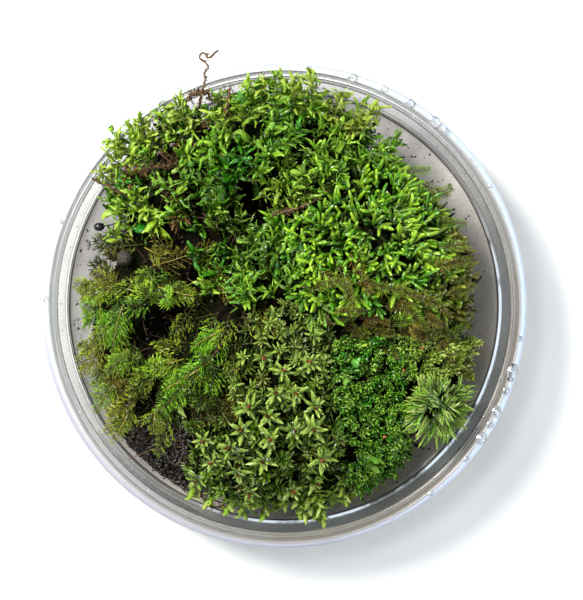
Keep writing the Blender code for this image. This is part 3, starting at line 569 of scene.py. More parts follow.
def stems(foot, heading, length, sag, width, around, low, high, shape=THREAD, bump=0.0):
    """Round stems along shoots, as thick as their shape says (share of length, of width), a point at each
    end. Their colour goes from low at the foot to high at the tip. Bumps in three rows wind round them, with
    painted light and shade: they are as much lighter as they stand out, and darker between them."""
    stations, widths = np.array(shape).T
    place, way = on_shoot(foot, heading, length, sag, np.concatenate([[0], stations, [1]]))
    side = unit(np.cross(way, np.array([0.31, 0.52, 0.13])))
    up = np.cross(way, side)
    turn = turns(around)
    relief = 1 + bump * np.cos(3 * turn + 2.1 * np.arange(len(stations))[:, None])
    thick = ((np.reshape(width, (-1, 1)) / 2 * widths)[..., None] * relief)[..., None]
    middle, side, up = (v[:, 1:-1, None] for v in (place, side, up))
    rings = middle + thick * (np.cos(turn)[:, None] * side + np.sin(turn)[:, None] * up)
    rows = np.r_[0, np.repeat(stations, around), 1][None, :, None]
    # painted light and shade: lighter on the bumps, darker in the grooves between them
    light = np.r_[1, 1 + 1.5 * (relief.ravel() - 1), 1][None, :, None]
    low, high = (np.broadcast_to(v, (len(foot), 3))[:, None] for v in (low, high))
    return lofts(rings, place[:, 0], place[:, -1], (low + (high - low) * rows) * light)


def spiral(foot, heading, length, sag, count, start, spread, dice, girth=0.0, stray=0.14):
    """Leaves up a shoot, each 137.5 degrees on from the last: its place, its way out, the side it faces and
    its share of the shoot. spread is its angle to the stem, in radians, from the lowest leaf to the topmost,
    and girth is the stem's radius."""
    start = np.reshape(start, (-1, 1))
    share = start + (1 - start) * (np.arange(count) + 0.5) / count
    place, way = on_shoot(foot, heading, length, sag, share)
    side = unit(np.cross(way, unit(dice.normal(size=(len(foot), 1, 3)))))
    up = np.cross(way, side)
    turn = (np.arange(count) * GOLDEN + dice.uniform(-0.3, 0.3, (len(foot), count)))[..., None]
    out = np.cos(turn) * side + np.sin(turn) * up
    lean = (spread[0] + (spread[1] - spread[0]) * np.arange(count) / max(count - 1, 1)
            + dice.normal(0, stray, (len(foot), count)))[..., None]
    place = place + girth * out
    along = np.cos(lean) * way + np.sin(lean) * out
    facing = np.sin(lean) * way - np.cos(lean) * out
    return (place.reshape(-1, 3), along.reshape(-1, 3), facing.reshape(-1, 3),
            np.broadcast_to(share, (len(foot), count)).ravel())


LANCE = ((0.07, 0.50), (0.25, 0.95), (0.47, 1.0), (0.70, 0.76), (0.89, 0.38))
SHORT = ((0.22, 0.85), (0.66, 0.72))
CHIP = ((0.38, 1.0),)


def blades(foot, along, facing, length, width, shape, curl, cup, low, high, hook=0.0, twist=0.0, crisp=0.0,
           edge=1.15, thick=0.05, sides=4):
    """Thin leaves with an edge, a midrib and an edge at each station of their shape (share of length, of
    width). A leaf bends evenly towards its face by curl, in radians, sideways by hook, and turns about
    itself by twist. Its edges stand up by cup, and unevenly by crisp. Its colour goes from low at the foot
    to high at the tip, and its edges are lighter by edge. With three sides its back is flat."""
    stations, widths = np.array(shape).T
    count = len(foot)
    length, width, curl, hook, cup, twist = (
        np.broadcast_to(v, count)[:, None, None] for v in (length, width, curl, hook, cup, twist))
    curl = np.where(np.abs(curl) < 0.02, 0.02, curl)
    t = np.concatenate([stations, [1.0]])[None, :, None]
    side = np.cross(facing, along)[:, None]
    along, facing = along[:, None], facing[:, None]
    line = foot[:, None] + length * (np.sin(curl * t) / curl * along + (1 - np.cos(curl * t)) / curl * facing
                                     + hook * t * t * side)
    normal = np.cos(curl * t) * facing - np.sin(curl * t) * along
    side, normal = (np.cos(twist * t) * side + np.sin(twist * t) * normal,
                    np.cos(twist * t) * normal - np.sin(twist * t) * side)
    half = width / 2 * widths[None, :, None]
    uneven = np.random.default_rng(count + 1).uniform(-1, 1, (count, len(stations), 1))
    half = half * (1 + 0.6 * crisp * uneven)
    line, tip, side, normal = line[:, :-1], line[:, -1], side[:, :-1], normal[:, :-1]
    lift = cup + crisp * np.random.default_rng(count).normal(size=(2, *half.shape))
    rings = np.stack([line + half * (side + lift[0] * normal), line + thick * normal,
                      line + half * (lift[1] * normal - side), line - thick * normal][:sides], 2)
    low, high = (np.broadcast_to(v, (count, 3))[:, None] for v in (low, high))
    middle = low + (high - low) * t[:, :-1]
    across = np.array([edge, 1.0, edge, 0.9][:sides])[None, None, :, None]
    tints = np.concatenate([low * 0.8, (middle[:, :, None] * across).reshape(count, -1, 3), high * edge], 1)
    return lofts(rings, foot, tip, tints)


def toned(dark, light, share):
    """Colours between two screen colours, by a share for each leaf."""
    dark, light = np.array(shade(*dark)), np.array(shade(*light))
    return dark + (light - dark) * np.clip(share, 0, 1)[:, None]


def tinged(colours, other, share):
    """Colours drawn towards one screen colour, by a share for each."""
    return colours + (np.array(shade(*other)) - colours) * share[:, None]


def over_heap(places):
    """How high places are over the heap."""
    return places[:, 2] - heap(*places.T[:2])


def sunk(places, depth=5.0):
    """1 at the heap's surface and above, falling to 0 at a depth below it.
    Leaves are dimmed by it as painted shade.
    """
    return np.clip(1 + over_heap(places) / depth, 0, 1)


def leaf_finish(name, roughness, glow, mottle=0.35, painted_glint_cut=0.68):
    """Living leaf under a film of water: the leaf's own tint, finely mottled, with some light through it.
    The film glints on the light leaves at the surface and not on the dark ones below, and minute pale
    spots are painted on them as glints of water, more of them the lower the glint threshold is."""
    made, place, shader = finish_of(name)
    tint = place.node("ShaderNodeAttribute", attribute_name="tint")
    grain = place.noise(2600, 3).between(0.3, 0.7)
    skin = grain.blend(tint.dimmed(1 - mottle, 1 - mottle, 1 - mottle), tint)
    film = place.noise(700, 2).between(0.35, 0.65)
    light = tint.node("ShaderNodeRGBToBW", {0: tint})
    # painted glints: pale spots on the light leaves
    bead = place.noise(1700, 1).between(painted_glint_cut, painted_glint_cut + 0.05) * light.between(0.02, 0.12)
    set_finish(shader, Base_Color=bead.blend(skin, shade(214, 232, 206)), Roughness=film * 0.22 + roughness,
               Specular_IOR_Level=0.14, Coat_Weight=film * light.between(0.015, 0.16) * 0.7, Coat_IOR=1.7,
               Coat_Roughness=0.03, Normal=(grain * 0.3 + place.noise(1600, 2)).bump(0.6, 0.0004))
    through = light.between(0.0, 0.5) * glow
    overlay(made, shader, "ShaderNodeBsdfTranslucent", through, Color=shade(150, 205, 50))
    return made


def rooted(x, y, depth, up, outward, stray, dice):
    """Feet at a depth under the heap, and headings out of it: its slope, plus up, plus away from the middle
    of the clump, plus a random stray."""
    foot = on_heap(x, y, -depth)
    away = outward * unit(xyz(x, y, 0))
    return foot, unit(slope(x, y) + np.array([0, 0, up]) + away + stray * dice.normal(size=foot.shape))


def near(spots, x, y):
    """1 in the middle of a round spot (x, y, radius) and 0 well outside, as a bell; the nearest spot
    counts."""
    apart = (x[:, None] - spots[:, 0]) ** 2 + (y[:, None] - spots[:, 1]) ** 2
    return np.exp(-apart / spots[:, 2] ** 2).max(1)


def apart(places, spot=(0, 0)):
    """How far places are from a spot, seen from above."""
    return np.hypot(*(places[:, :2] - spot).T)


def arched(foot, end, rise):
    """Headings, lengths and sags that take shoots from their feet up by a rise and over to their ends."""
    reach = end - foot
    lift = np.array([0, 0, rise])
    return unit(reach) + lift, np.linalg.norm(reach, axis=1), np.tile(-lift, (len(foot), 1))


# stars of longer leaves at the tips of strong shoots: x, y and how much longer than the rest
CROWNS = np.array((
    (-5.7, 37.9, 1.5), (-15.8, 35.5, 1.15), (-22.5, 32.8, 1.1), (0.5, 30.0, 1.2), (3.4, 26.0, 1.15),
    (-12.5, 41.5, 1.15), (-36.5, 27.5, 1.15), (-33.0, 23.0, 1.1), (-29.5, 24.5, 1.1), (8.0, 33.0, 1.1),
    (-2.5, 45.5, 1.1), (7.5, 46.0, 1.15), (-25.5, 43.0, 1.2), (-33.5, 38.0, 1.15), (-21.5, 21.5, 1.1),
    (-6.0, 12.5, 1.2), (-2.5, 7.5, 1.2), (-9.5, 14.5, 1.1), (16.5, 40.5, 1.0), (24.0, 37.5, 1.0),
    (-36.0, 19.0, 1.1), (-10.5, 33.5, 1.15), (1.5, 38.5, 1.1)))
# shoots that arch over the wall: feet, and the ends that they reach
ARCHING = np.array((
    (-31.5, 34.5, 20, -37.2, 43.0, 26), (-34, 30.5, 19, -42.4, 36.0, 24.6),
    (-36, 25.5, 18, -44.2, 32.0, 23.6), (-25, 39, 22, -30.2, 46.6, 27), (-7, 44.5, 26, -8.6, 52.2, 31),
    (-0.5, 45, 25, -2.3, 54.6, 29.6), (6.5, 44, 24, 6.8, 55.6, 27.8), (15, 40, 22, 18.6, 45.0, 23.6),
    (-33, 33, 19, -40.1, 39.2, 25.0), (-29, 37.5, 20, -34.3, 44.8, 25.6), (2.5, 44, 25, 2.4, 53.2, 29.6),
    (11, 43, 22, 13.6, 50.6, 26.6), (-31, 36, 19, -33.8, 42.2, 25.2), (-21, 41, 22, -25.4, 47.8, 26.4),
    (-4, 45, 25, -5.4, 53.4, 29.0), (17, 40.5, 20.5, 22.2, 47.6, 23.2)))
# round spots, as x, y and radius, where the green is thin, withered, or in deep shade
THIN = np.array((
    (21.0, 42.0, 9.5), (26.5, 36.0, 6.5), (-40.5, 19.5, 7.0), (-37.0, 30.5, 4.0), (-1, 22, 2.4),
    (2.5, 22.9, 2.4), (6.0, 24.1, 2.4), (9.0, 26.5, 2.2), (-9.2, 24.6, 5.5), (-6.6, 21.6, 4.2)))
WITHERED = np.array((
    (-27.0, 36.0, 5.0), (-19.4, 41.5, 5.0), (-31.0, 32.5, 5.0), (-15.0, 50.0, 3.5), (-24.5, 21.0, 5.5)))
HOLLOW = np.array((
    (-10.5, 23.5, 8.5), (-6.0, 21.4, 5.5), (-12.5, 17.5, 7.0), (-7.0, 11.5, 4.0)))
CAPSULE_GAP, CAPSULE_REACH = (-43.5, 19.5), (-44.5, 19.3)    # spots round the spore capsule that stay open
CRISPED = ((0.06, 0.50), (0.22, 0.90), (0.45, 1.05), (0.70, 0.88), (0.90, 0.52))
LOOSE = 16


def leafy_shoots(foot, heading, length, sag, count, start, spread, curl, size, hue, yellow, brown, dice):
    """Shoots with broad curled leaves: the leaves, and the stalks under them. size, hue, yellow and brown
    are one for each shoot, and curl is the middle of the leaves' own."""
    at, along, facing, share = spiral(foot, heading, length, sag, count, start, spread, dice, stray=0.25)
    size, hue, yellow, brown = (np.repeat(np.broadcast_to(v, len(foot)), count)
                                for v in (size, hue, yellow, brown))
    size = size * dice.uniform(0.7, 1.2, len(at)) * (0.85 + 0.35 * np.sin(np.pi * share ** 2))
    hue = hue + dice.normal(0, 0.15, len(at))
    # painted shade: the leaves darken with depth under the heap, and most of all in the hollows
    depth = (sunk(at) * (1 - 0.88 * near(HOLLOW, at[:, 0], at[:, 1])))[:, None]
    low = tinged(toned((26, 64, 4), (96, 148, 12), hue), (132, 138, 34), yellow)
    high = tinged(toned((62, 146, 12), (198, 244, 78), hue), (208, 222, 90), yellow)
    low, high = tinged(low, (44, 30, 14), brown), tinged(high, (116, 82, 42), brown)
    low, high = low * (0.15 + 0.85 * depth), high * (0.18 + 0.82 * depth)
    curl, cup = dice.normal(curl, 1.3, len(at)), dice.uniform(0.1, 0.7, len(at))
    hook, twist = dice.normal(0, 0.38, len(at)), dice.normal(0, 1.2, len(at))
    wide = 1.06 * size * (1 - 0.4 * brown)
    leaves = blades(at, along, facing, 3.9 * size, wide, CRISPED, curl, cup, low, high, hook, twist,
                    crisp=0.62, edge=1.35)
    return [leaves, stems(foot, heading, length, sag, 0.36, 3, shade(46, 44, 16), shade(96, 120, 36))]


leafy = leaf_finish("leafy_leaf", 0.12, 0.30)
dice = np.random.default_rng(101)
x, y = strew(LEAFY, 2.75, dice, shy=1.0)
keep = (near(WITHERED, x, y) < dice.uniform(0.2, 0.9, len(x))) | (dice.uniform(size=len(x)) < 0.25)
keep &= near(THIN, x, y) < dice.uniform(0.2, 1.1, len(x))
x, y = x[keep], y[keep]
withered = np.r_[near(WITHERED, x, y), np.zeros(len(CROWNS))]
gaps = np.r_[np.clip(-ripple(x, y, 8, 19), 0, 1), np.zeros(len(CROWNS))]
crown = np.arange(len(withered)) >= len(x)
size = np.r_[np.full(len(x), 0.92), CROWNS[:, 2]]
x, y = np.r_[x, CROWNS[:, 0]], np.r_[y, CROWNS[:, 1]]
foot, heading = rooted(x, y, 4.2 + 2.4 * gaps, 0.35, 0.3,
                       np.where(crown, 0.3, dice.choice((0.35, 0.8), len(x)))[:, None], dice)
sunny = np.exp(-((x - 19) ** 2 + (y - 42) ** 2) / 130)
hue = 0.42 + 0.4 * ripple(x, y, 13, 7) + dice.normal(0, 0.2, len(x)) + 0.25 * crown + 0.35 * sunny
yellow = 0.35 * np.clip(ripple(x, y, 16, 9), 0, 1) * (1 - sunny)
length = dice.uniform(4.6, 8.4, len(x))
sag = 0.25 * dice.normal(size=foot.shape) - (0, 0, 0.12)
brown = 1.0 * (withered > dice.uniform(0.1, 0.9, len(x)))
standing = leafy_shoots(foot, heading, length, sag, 12, 0.28, (1.3, 0.4), -0.15, size, hue, yellow, brown,
                        dice)

# shoots low on the side, and looser ones that stand out over the floor of the tub at the upper right
side = edge_places(LEAFY, 2.9, dice)
side = side[apart(side, CAPSULE_GAP) > 5.5]
side = side[near(THIN[:2], side[:, 0], side[:, 1]) < dice.uniform(0.3, 1.1, len(side))]
side_way = outward(side, 18, 11, dice)
# none of them reaches over the spore capsule
clear = apart(side + 5.0 * side_way, CAPSULE_REACH) > 5.4
side, side_way = side[clear], side_way[clear]
bearing = np.radians(dice.uniform(56, 78, LOOSE))
loose = polar(bearing, 42.0, dice.uniform(10, 17, LOOSE))
loose_way = unit(polar(bearing, 1.0, dice.uniform(0.1, 1.0, LOOSE)) + 0.35 * dice.normal(size=loose.shape))
foot, heading = np.concatenate([side, loose]), np.concatenate([side_way, loose_way])
size = np.repeat((0.85, 0.68), (len(side), LOOSE))
length = np.r_[dice.uniform(4, 7, len(side)), dice.uniform(4.4, 7, LOOSE)]
sag = 0.3 * dice.normal(size=foot.shape)
hue = 0.35 + dice.normal(0, 0.25, len(foot))
outer = leafy_shoots(foot, heading, length, sag, 11, 0.15, (1.2, 0.5), -0.3, size, hue, 0.0, 0.0, dice)
foot = ARCHING[:, :3]
size = dice.uniform(0.8, 1.05, len(foot))
hue = 0.7 + dice.normal(0, 0.2, len(foot))
yellow = dice.uniform(0.1, 0.8, len(foot))
arching = leafy_shoots(foot, *arched(foot, ARCHING[:, 3:], 0.45), 24, 0.05, (1.3, 0.7), -0.7, size, hue,
                       yellow, 0.0, dice)
piece("leafy_leaves", [*standing, *outer, *arching], leafy, "leafy_moss", "leafy_moss")


# ---------------------------------------------------------------- catkin moss, right
# Dense lime green cushion of blunt round shoots like small catkins, each wrapped in tiny overlapping scales.
# They root in the old stems and stand in fans that point away from the cushion's middle, brightest at their
# tips and darkened lower down by painted shade, olive at the far edge.
CATKIN_MIDDLE = (20.0, 17.0)
ROD = ((0.04, 0.5), (0.16, 0.82), (0.36, 0.95), (0.57, 1.0), (0.78, 0.98), (0.94, 0.68))


def fans(foot, heading, count, wide, dice):
    """Several headings from each foot, spread like a fan by wide radians to each side in the heap's own
    plane."""
    across = unit(np.cross(slope(foot[:, 0], foot[:, 1]), heading))[:, None]
    turn = np.linspace(-wide, wide, count) + dice.normal(0, 0.2, (len(foot), count))
    spread = np.cos(turn)[..., None] * heading[:, None] + np.sin(turn)[..., None] * across
    spread = unit(spread + dice.normal(0, 0.16, spread.shape)).reshape(-1, 3)
    return np.repeat(foot, count, 0) + spread * dice.uniform(0, 1.0, (len(spread), 1)), spread


catkin = leaf_finish("catkin_scale", 0.26, 0.24)
dice = np.random.default_rng(202)
x, y = strew(CATKIN, 2.1, dice, inset=0.8)
keep = near(THIN[4:], x, y) < dice.uniform(0.2, 1.1, len(x))
x, y = x[keep], y[keep]
away = xyz(x - CATKIN_MIDDLE[0], y - CATKIN_MIDDLE[1], 0) / 14
away = away / np.maximum(1, np.linalg.norm(away, axis=1, keepdims=True))
foot = on_heap(x, y, -dice.uniform(0.6, 3.4, len(x)))
heading = unit(0.6 * slope(x, y) + 0.55 * away + 0.6 * dice.normal(size=foot.shape))
foot, heading = fans(*flanked(foot, heading, CATKIN, 2.7, 9.0, 16, 9, dice), 6, 0.95, dice)
length = dice.uniform(2.4, 4.9, len(foot))
sag = dice.normal(0, 0.18, foot.shape)
tip = foot + heading * length[:, None]
olive = np.clip((tip[:, 0] - 33) / 10 + 0.45 * ripple(tip[:, 0], tip[:, 1], 9, 3), 0, 1) ** 2
bright = 0.42 + 0.4 * ripple(foot[:, 0], foot[:, 1], 8, 11) + dice.normal(0, 0.32, len(foot))
# painted shade: the rods darken with depth under the heap
painted_depth_shade = (0.06 + 0.94 * sunk(tip - (0, 0, 1.2), 4.0) ** 1.9)[:, None]
low = toned((24, 58, 2), (44, 50, 6), olive) * painted_depth_shade
high = tinged(toned((76, 146, 6), (194, 242, 60), bright), (132, 130, 36), olive) * painted_depth_shade
rods = stems(foot, heading, length, sag, dice.uniform(0.62, 0.98, len(foot)), 6, low, high, ROD, bump=0.20)
piece("catkin_shoots", [rods], catkin, "catkin_moss", "catkin_moss")


# ---------------------------------------------------------------- feather moss, left
# Flat fronds like small ferns: a yellow stem with a comb of side shoots, each set with minute leaves. They
# lie over each other, rooted in the old stems, point away from the hollow beside them and curl down at the
# left edge.

# round spots of brighter green, and fronds that stand out: a foot, a bearing in degrees from +X and a length
LIME = np.array((
    (-27.0, -20.0, 9.0), (-20.0, -14.0, 7.0), (-44.0, -5.0, 8.0), (-35.0, -4.0, 6.0), (-27.0, 3.0, 5.0)))
LEADING = np.array((
    (-38.0, 0.5, 248, 13.5), (-30.0, 4.5, 343, 12.0), (-19.5, 10.5, 318, 9.5), (-42.0, -4.5, 226, 8.0),
    (-16.5, -12.5, 218, 13.0), (-19.0, -14.5, 208, 12.0), (-20.0, -16.5, 232, 11.5),
    (-23.5, -12.5, 203, 10.0), (-14.0, -5.5, 204, 9.0), (-31.5, 9.5, 10, 12.0), (-33.5, 14.0, 332, 9.0),
    (-41.5, 7.5, 250, 9.0), (-44.0, 1.0, 262, 9.5), (-43.5, -8.0, 250, 9.5), (-40.5, -14.0, 262, 9.0),
    (-37.0, -10.0, 240, 11.0), (-40.0, -18.0, 225, 7.5), (-39.0, -21.5, 220, 7.0), (-36.5, -24.5, 226, 7.5),
    (-30.5, -24.5, 250, 6.5), (-36.0, -23.5, 238, 8.5)))
BUD_GAP = (-37.8, 11.6)    # a spot over the bud that stays open


def fronds(foot, heading, length, sag, pairs, reach, dice, lean=0.75, droop=0.25):
    """Side shoots in pairs along the fronds: feet, headings, lengths and sag. They are longest a third of
    the way up, lean forward by lean and hang by droop."""
    share = 0.1 + 0.87 * (np.arange(pairs) + 0.5) / pairs
    place, way = on_shoot(foot, heading, length, sag, share)
    up = slope(place[..., 0], place[..., 1])
    side = unit(np.cross(up, way))
    hand = np.array([1, -1])[:, None, None, None]
    out = unit(hand * side + lean * way + dice.normal(0, 0.13, (2, *way.shape)))
    size = reach * (1 - share) ** 0.6 * np.minimum(1, 0.55 + share * 2)
    size = size * dice.uniform(0.75, 1.15, (2, *way.shape[:2]))
    place, down = (np.broadcast_to(v, out.shape).reshape(-1, 3) for v in (place, -droop * up + 0.25 * way))
    return place, out.reshape(-1, 3), size.ravel(), down


def fern(foot, heading, length, sag, reach, pairs, leaflets, low, high, stem, leaf_size, dice, spread,
         slim=0.22):
    """Fronds whole: their stems, their side shoots and the minute leaves on those, which stand off by
    spread."""
    side_foot, side_way, side_long, side_sag = fronds(foot, heading, length, sag, pairs, reach, dice)
    # the side shoots come as all on one hand, then all on the other, each frond by frond
    low, high = (np.tile(np.repeat(v, pairs, 0), (2, 1)) for v in (low, high))
    main = stems(foot, heading, length, sag, 0.30, 4, stem, stem * 1.2)
    twigs = stems(side_foot, side_way, side_long, side_sag, 0.16, 3, low, high, THREAD[::3])
    at, along, facing, share = spiral(side_foot, side_way, side_long, side_sag, leaflets, 0.08, spread, dice,
                                      stray=0.3)
    size = (np.repeat(0.8 + 0.08 * side_long, leaflets) * leaf_size * dice.uniform(0.75, 1.3, len(at))
            * (1.15 - 0.35 * share))
    glow = (share ** 0.7 * dice.uniform(0.3, 1.4, len(at)))[:, None]
    low, high = np.repeat(low, leaflets, 0), np.repeat(high, leaflets, 0)
    tint = low + (high - low) * glow
    leaflet = blades(at, along, facing, size, slim * size, CHIP, dice.normal(0.7, 0.6, len(at)), -0.3, tint,
                     tint * 1.8, hook=dice.normal(0, 0.3, len(at)), thick=0.04, sides=3)
    return [main, twigs, leaflet]


def lead(rows, lift, rise, swing=0.0):
    """Feet at a lift over the heap and headings that rise by rise, from rows of x, y and a bearing in
    degrees."""
    x, y, bearing = rows.T[:3]
    return on_heap(x, y, lift), unit(polar(np.radians(bearing + swing), 1.0, rise))


feather = leaf_finish("feather_leaf", 0.32, 0.26)
dice = np.random.default_rng(303)
x, y = strew(FEATHER, 3.5, dice, shy=1.25)
away = unit(xyz(x + 13, y - 4, 0))
lie = unit(away + 0.75 * dice.normal(size=away.shape) * (1, 1, 0.3) + 0.3 * slope(x, y))
foot = on_heap(x, y, -dice.uniform(-0.6, 3.6, len(x)))
foot, heading = flanked(foot, lie, FEATHER, 3.6, 8.5, 12, 12, dice)
length = np.r_[dice.uniform(5.5, 9.5, len(x)), dice.uniform(4, 6, len(foot) - len(x)), LEADING[:, 3]]
leads = np.arange(len(length)) >= len(foot)
foot, heading = (np.concatenate(v) for v in zip((foot, heading), lead(LEADING, 1.3, 0.12)))
end = foot + heading * length[:, None]
fall = (heap(*end.T[:2]) - foot[:, 2] + 0.6) / length
sag = xyz(*0.28 * np.clip(dice.normal(size=(2, len(foot))), -1.4, 1.4), np.clip(fall, -0.8, 0.3))
end = end + sag * length[:, None]
keep = leads | (apart(end) < 51.5)
for share in (0.3, 0.6, 0.9):
    keep &= apart(foot + (end - foot) * share, BUD_GAP) > 2.3
foot, heading, length, sag, end, leads = (v[keep] for v in (foot, heading, length, sag, end, leads))
sunny = near(LIME, end[:, 0], end[:, 1])
lime = 0.2 + 0.3 * ripple(end[:, 0], end[:, 1], 17, 13) + 0.8 * sunny + dice.normal(0, 0.15, len(foot))
dull = 0.3 - sunny + 0.9 * ripple(end[:, 0], end[:, 1], 10, 29) + dice.normal(0, 0.2, len(foot))
dull = np.clip(dull, 0, 0.85) * (apart(foot) < 43)
# painted shade: the fronds darken with depth under the heap, less on the clump's outer edge
painted_depth_shade = np.clip(1.05 + 0.3 * over_heap(foot), np.where(apart(foot) > 43, 0.74, 0.13), 1)[:, None]
low = tinged(toned((54, 62, 8), (50, 108, 8), lime), (44, 34, 8), dull) * painted_depth_shade
high = tinged(toned((188, 190, 56), (158, 232, 44), lime), (120, 98, 28), dull) * painted_depth_shade
stem = toned((62, 60, 16), (176, 156, 36), leads * dice.uniform(0.3, 1.1, len(foot)))
made = []
for some, reach, pairs, leaf_size, spread in (
        (~leads, 4.0, 6, 1.55, (1.0, 0.4)),
        (leads, 4.4, 12, 1.0, (0.7, 0.3))):
    made += fern(foot[some], heading[some], length[some], sag[some], reach, pairs, 9, low[some], high[some],
                 stem[some], leaf_size, dice, spread)
piece("feather_fronds", made, feather, "feather_moss", "feather_moss")


# ---------------------------------------------------------------- olive strands in the seam
# Long creeping strands, olive brown and feathery, rooted in the seam between the catkin moss and the turf.
# Some climb over the catkin moss, and some hang out over its right edge.

# strands that stand out: a foot, a bearing in degrees from +X and a length
CLIMBING = np.array((
    (12.0, 11.0, 298, 11.0), (15.5, 12.5, 286, 12.0), (8.0, 8.5, 322, 10.0), (17.5, 6.0, 340, 12.0),
    (4.0, 4.5, 350, 9.0), (24.0, 5.0, 330, 10.0), (30.0, 3.0, 338, 11.0), (34.0, 8.5, 20, 9.0),
    (36.0, 14.0, 8, 9.0), (36.5, 19.5, 22, 8.0), (33.5, 25.5, 10, 8.0), (30.0, 30.5, 345, 10.5),
    (38.0, 3.0, 345, 8.5), (37.5, 10.5, 352, 8.0), (28.0, 32.5, 5, 7.5), (27.5, 0.5, 320, 9.0),
    (20.0, -1.0, 200, 8.0), (33.0, -1.0, 318, 8.0)))

strand = leaf_finish("olive_strand", 0.34, 0.24)
dice = np.random.default_rng(404)
x, y = strew(STRANDS, 2.7, dice, inset=3.0)
foot = on_heap(x, y, -dice.uniform(-0.4, 2.6, len(x)))
heading = unit(np.array([0.8, -0.2, 0.15]) + 0.6 * dice.normal(size=foot.shape) * (1, 1, 0.4))
length = np.r_[dice.uniform(4.5, 9.0, len(x)), CLIMBING[:, 3]]
climbing = lead(CLIMBING, 1.2, 0.22, dice.normal(0, 6, len(CLIMBING)))
foot, heading = (np.concatenate(v) for v in zip((foot, heading), climbing))
end = foot + heading * length[:, None]
keep = apart(end) < 50
foot, heading, length, end = foot[keep], heading[keep], length[keep], end[keep]
sag = xyz(0, 0.2 * dice.normal(size=len(length)),
          np.clip((heap(*end.T[:2]) - foot[:, 2] + 1.6) / length, -0.7, 0.3))
hue = 0.5 + 0.4 * dice.normal(size=len(foot))
# painted shade: the strands darken with depth under the heap
painted_depth_shade = np.clip(1.1 + 0.3 * over_heap(foot), 0.2, 1)[:, None]
low = toned((62, 52, 10), (58, 84, 10), hue) * painted_depth_shade
high = toned((160, 134, 48), (146, 186, 54), hue) * painted_depth_shade
stem = np.array(shade(84, 66, 28))
made = fern(foot, heading, length, sag, 2.2, 11, 7, low, high, stem, 1.15, dice, (0.8, 0.35))
piece("strands", made, strand, "olive_strands", "trailing_strands")


# ---------------------------------------------------------------- star moss, bottom
# Upright leafy stalks, rooted in the old stems, that end in open stars of pale pointed leaves with a
# red-brown middle; drops of water stand in some.

# the larger stars, and the ends of the stems of broad-leaved shoots that hang over the floor of the tub
STARS = np.array((
    (-19.0, -31.8), (-8.0, -24.1), (-3.6, -25.6), (-1.9, -20.6), (-9.6, -29.1), (-3.3, -31.0),
    (-12.3, -33.5), (-16.5, -36.9), (-4.6, -36.3), (-10.8, -38.9), (-20.4, -41.5), (-8.1, -43.4),
    (2.9, -20.3), (7.2, -23.2), (7.0, -28.6), (2.3, -29.1), (6.8, -42.0), (1.6, -43.9), (8.9, -36.0),
    (-5.0, -12.1), (-0.1, -15.6), (6.0, -13.5)))
HANGING = np.array((
    (9.4, -51.0, 17.5), (6.4, -49.4, 18.0), (3.6, -49.2, 17.0), (0.0, -48.6, 17.0), (-4.6, -50.2, 16.5),
    (-10.2, -50.8, 16.5), (-13.6, -49.4, 16.0), (-22.6, -46.4, 15.0), (14.8, -46.4, 17.0),
    (18.2, -44.2, 16.5), (8.0, -47.6, 18.5), (-8.0, -48.8, 17.0), (-18.4, -47.6, 15.5), (5.0, -51.2, 15.5),
    (8.4, -52.0, 14.5)))
STAR_LEAVES = 15

star = leaf_finish("star_leaf", 0.16, 0.28, painted_glint_cut=0.70)
dice = np.random.default_rng(505)
x, y = strew(STAR, 2.7, dice, inset=0.8)
far = np.hypot(x[:, None] - STARS[:, 0], y[:, None] - STARS[:, 1]).min(1) > 2.0
x, y = np.r_[STARS[:, 0], x[far]], np.r_[STARS[:, 1], y[far]]
named = np.arange(len(x)) < len(STARS)
foot = on_heap(x, y, np.where(named, 1.2, dice.uniform(-3.0, 0.6, len(x))))
stray = np.where(named, 0.22, 0.5)[:, None] * dice.normal(size=foot.shape)
heading = unit(slope(x, y) + np.array([0, 0, 0.6]) + stray)
foot, heading = flanked(foot, heading, STAR, 2.8, 9.0, 16, 12, dice)
named = np.arange(len(foot)) < len(STARS)
crown = np.where(named, dice.uniform(0.95, 1.2, len(foot)), dice.uniform(0.6, 0.95, len(foot)))
at, along, facing, share = spiral(foot, heading, 1.8 * crown, 0 * foot, STAR_LEAVES, 0.0, (1.45, 0.25), dice)
rank = np.tile(np.arange(STAR_LEAVES) / (STAR_LEAVES - 1), len(foot))
size = np.repeat(crown, STAR_LEAVES) * (1 - 0.66 * rank ** 1.4) * dice.uniform(0.8, 1.12, len(at))
yellow = 0.6 * np.clip((foot[:, 1] + 24) / 14, 0, 1)
pale = np.repeat(np.where(named, 0.95, 0.25 + yellow) + dice.normal(0, 0.22, len(foot)), STAR_LEAVES)
# painted shade: the leaves darken with depth under the heap
painted_depth_shade = (0.05 + 0.95 * sunk(at, 3.0) ** 1.6)[:, None]
olive = np.repeat(np.clip(ripple(foot[:, 0], foot[:, 1], 7, 23) - 0.25, 0, 0.8) * ~named, STAR_LEAVES)
low = tinged(toned((34, 62, 2), (66, 108, 8), pale), (40, 30, 8), olive)
high = tinged(toned((106, 150, 6), (204, 234, 104), pale), (128, 104, 40), olive)
# the innermost leaves of the larger stars, and of a fifth of the rest, are red-brown
heart = np.repeat(named | (dice.uniform(size=len(foot)) < 0.2), STAR_LEAVES)
heart = (heart * np.clip((rank - 0.76) * 7, 0, 1))[:, None]
red = np.array(shade(112, 62, 30))
# edge=0.74 makes each leaf darker at its edges than along its middle: a painted sheen down the midrib
leaves = blades(at, along, facing, 3.6 * size, 1.2 * size, LANCE, dice.normal(-0.3, 0.5, len(at)),
                dice.uniform(0.1, 0.45, len(at)), (low * (1 - heart) + red * 0.5 * heart) * painted_depth_shade,
                (high * (1 - heart) + red * heart) * painted_depth_shade, hook=dice.normal(0, 0.16, len(at)),
                twist=dice.normal(0, 0.45, len(at)), crisp=0.2, edge=0.74)
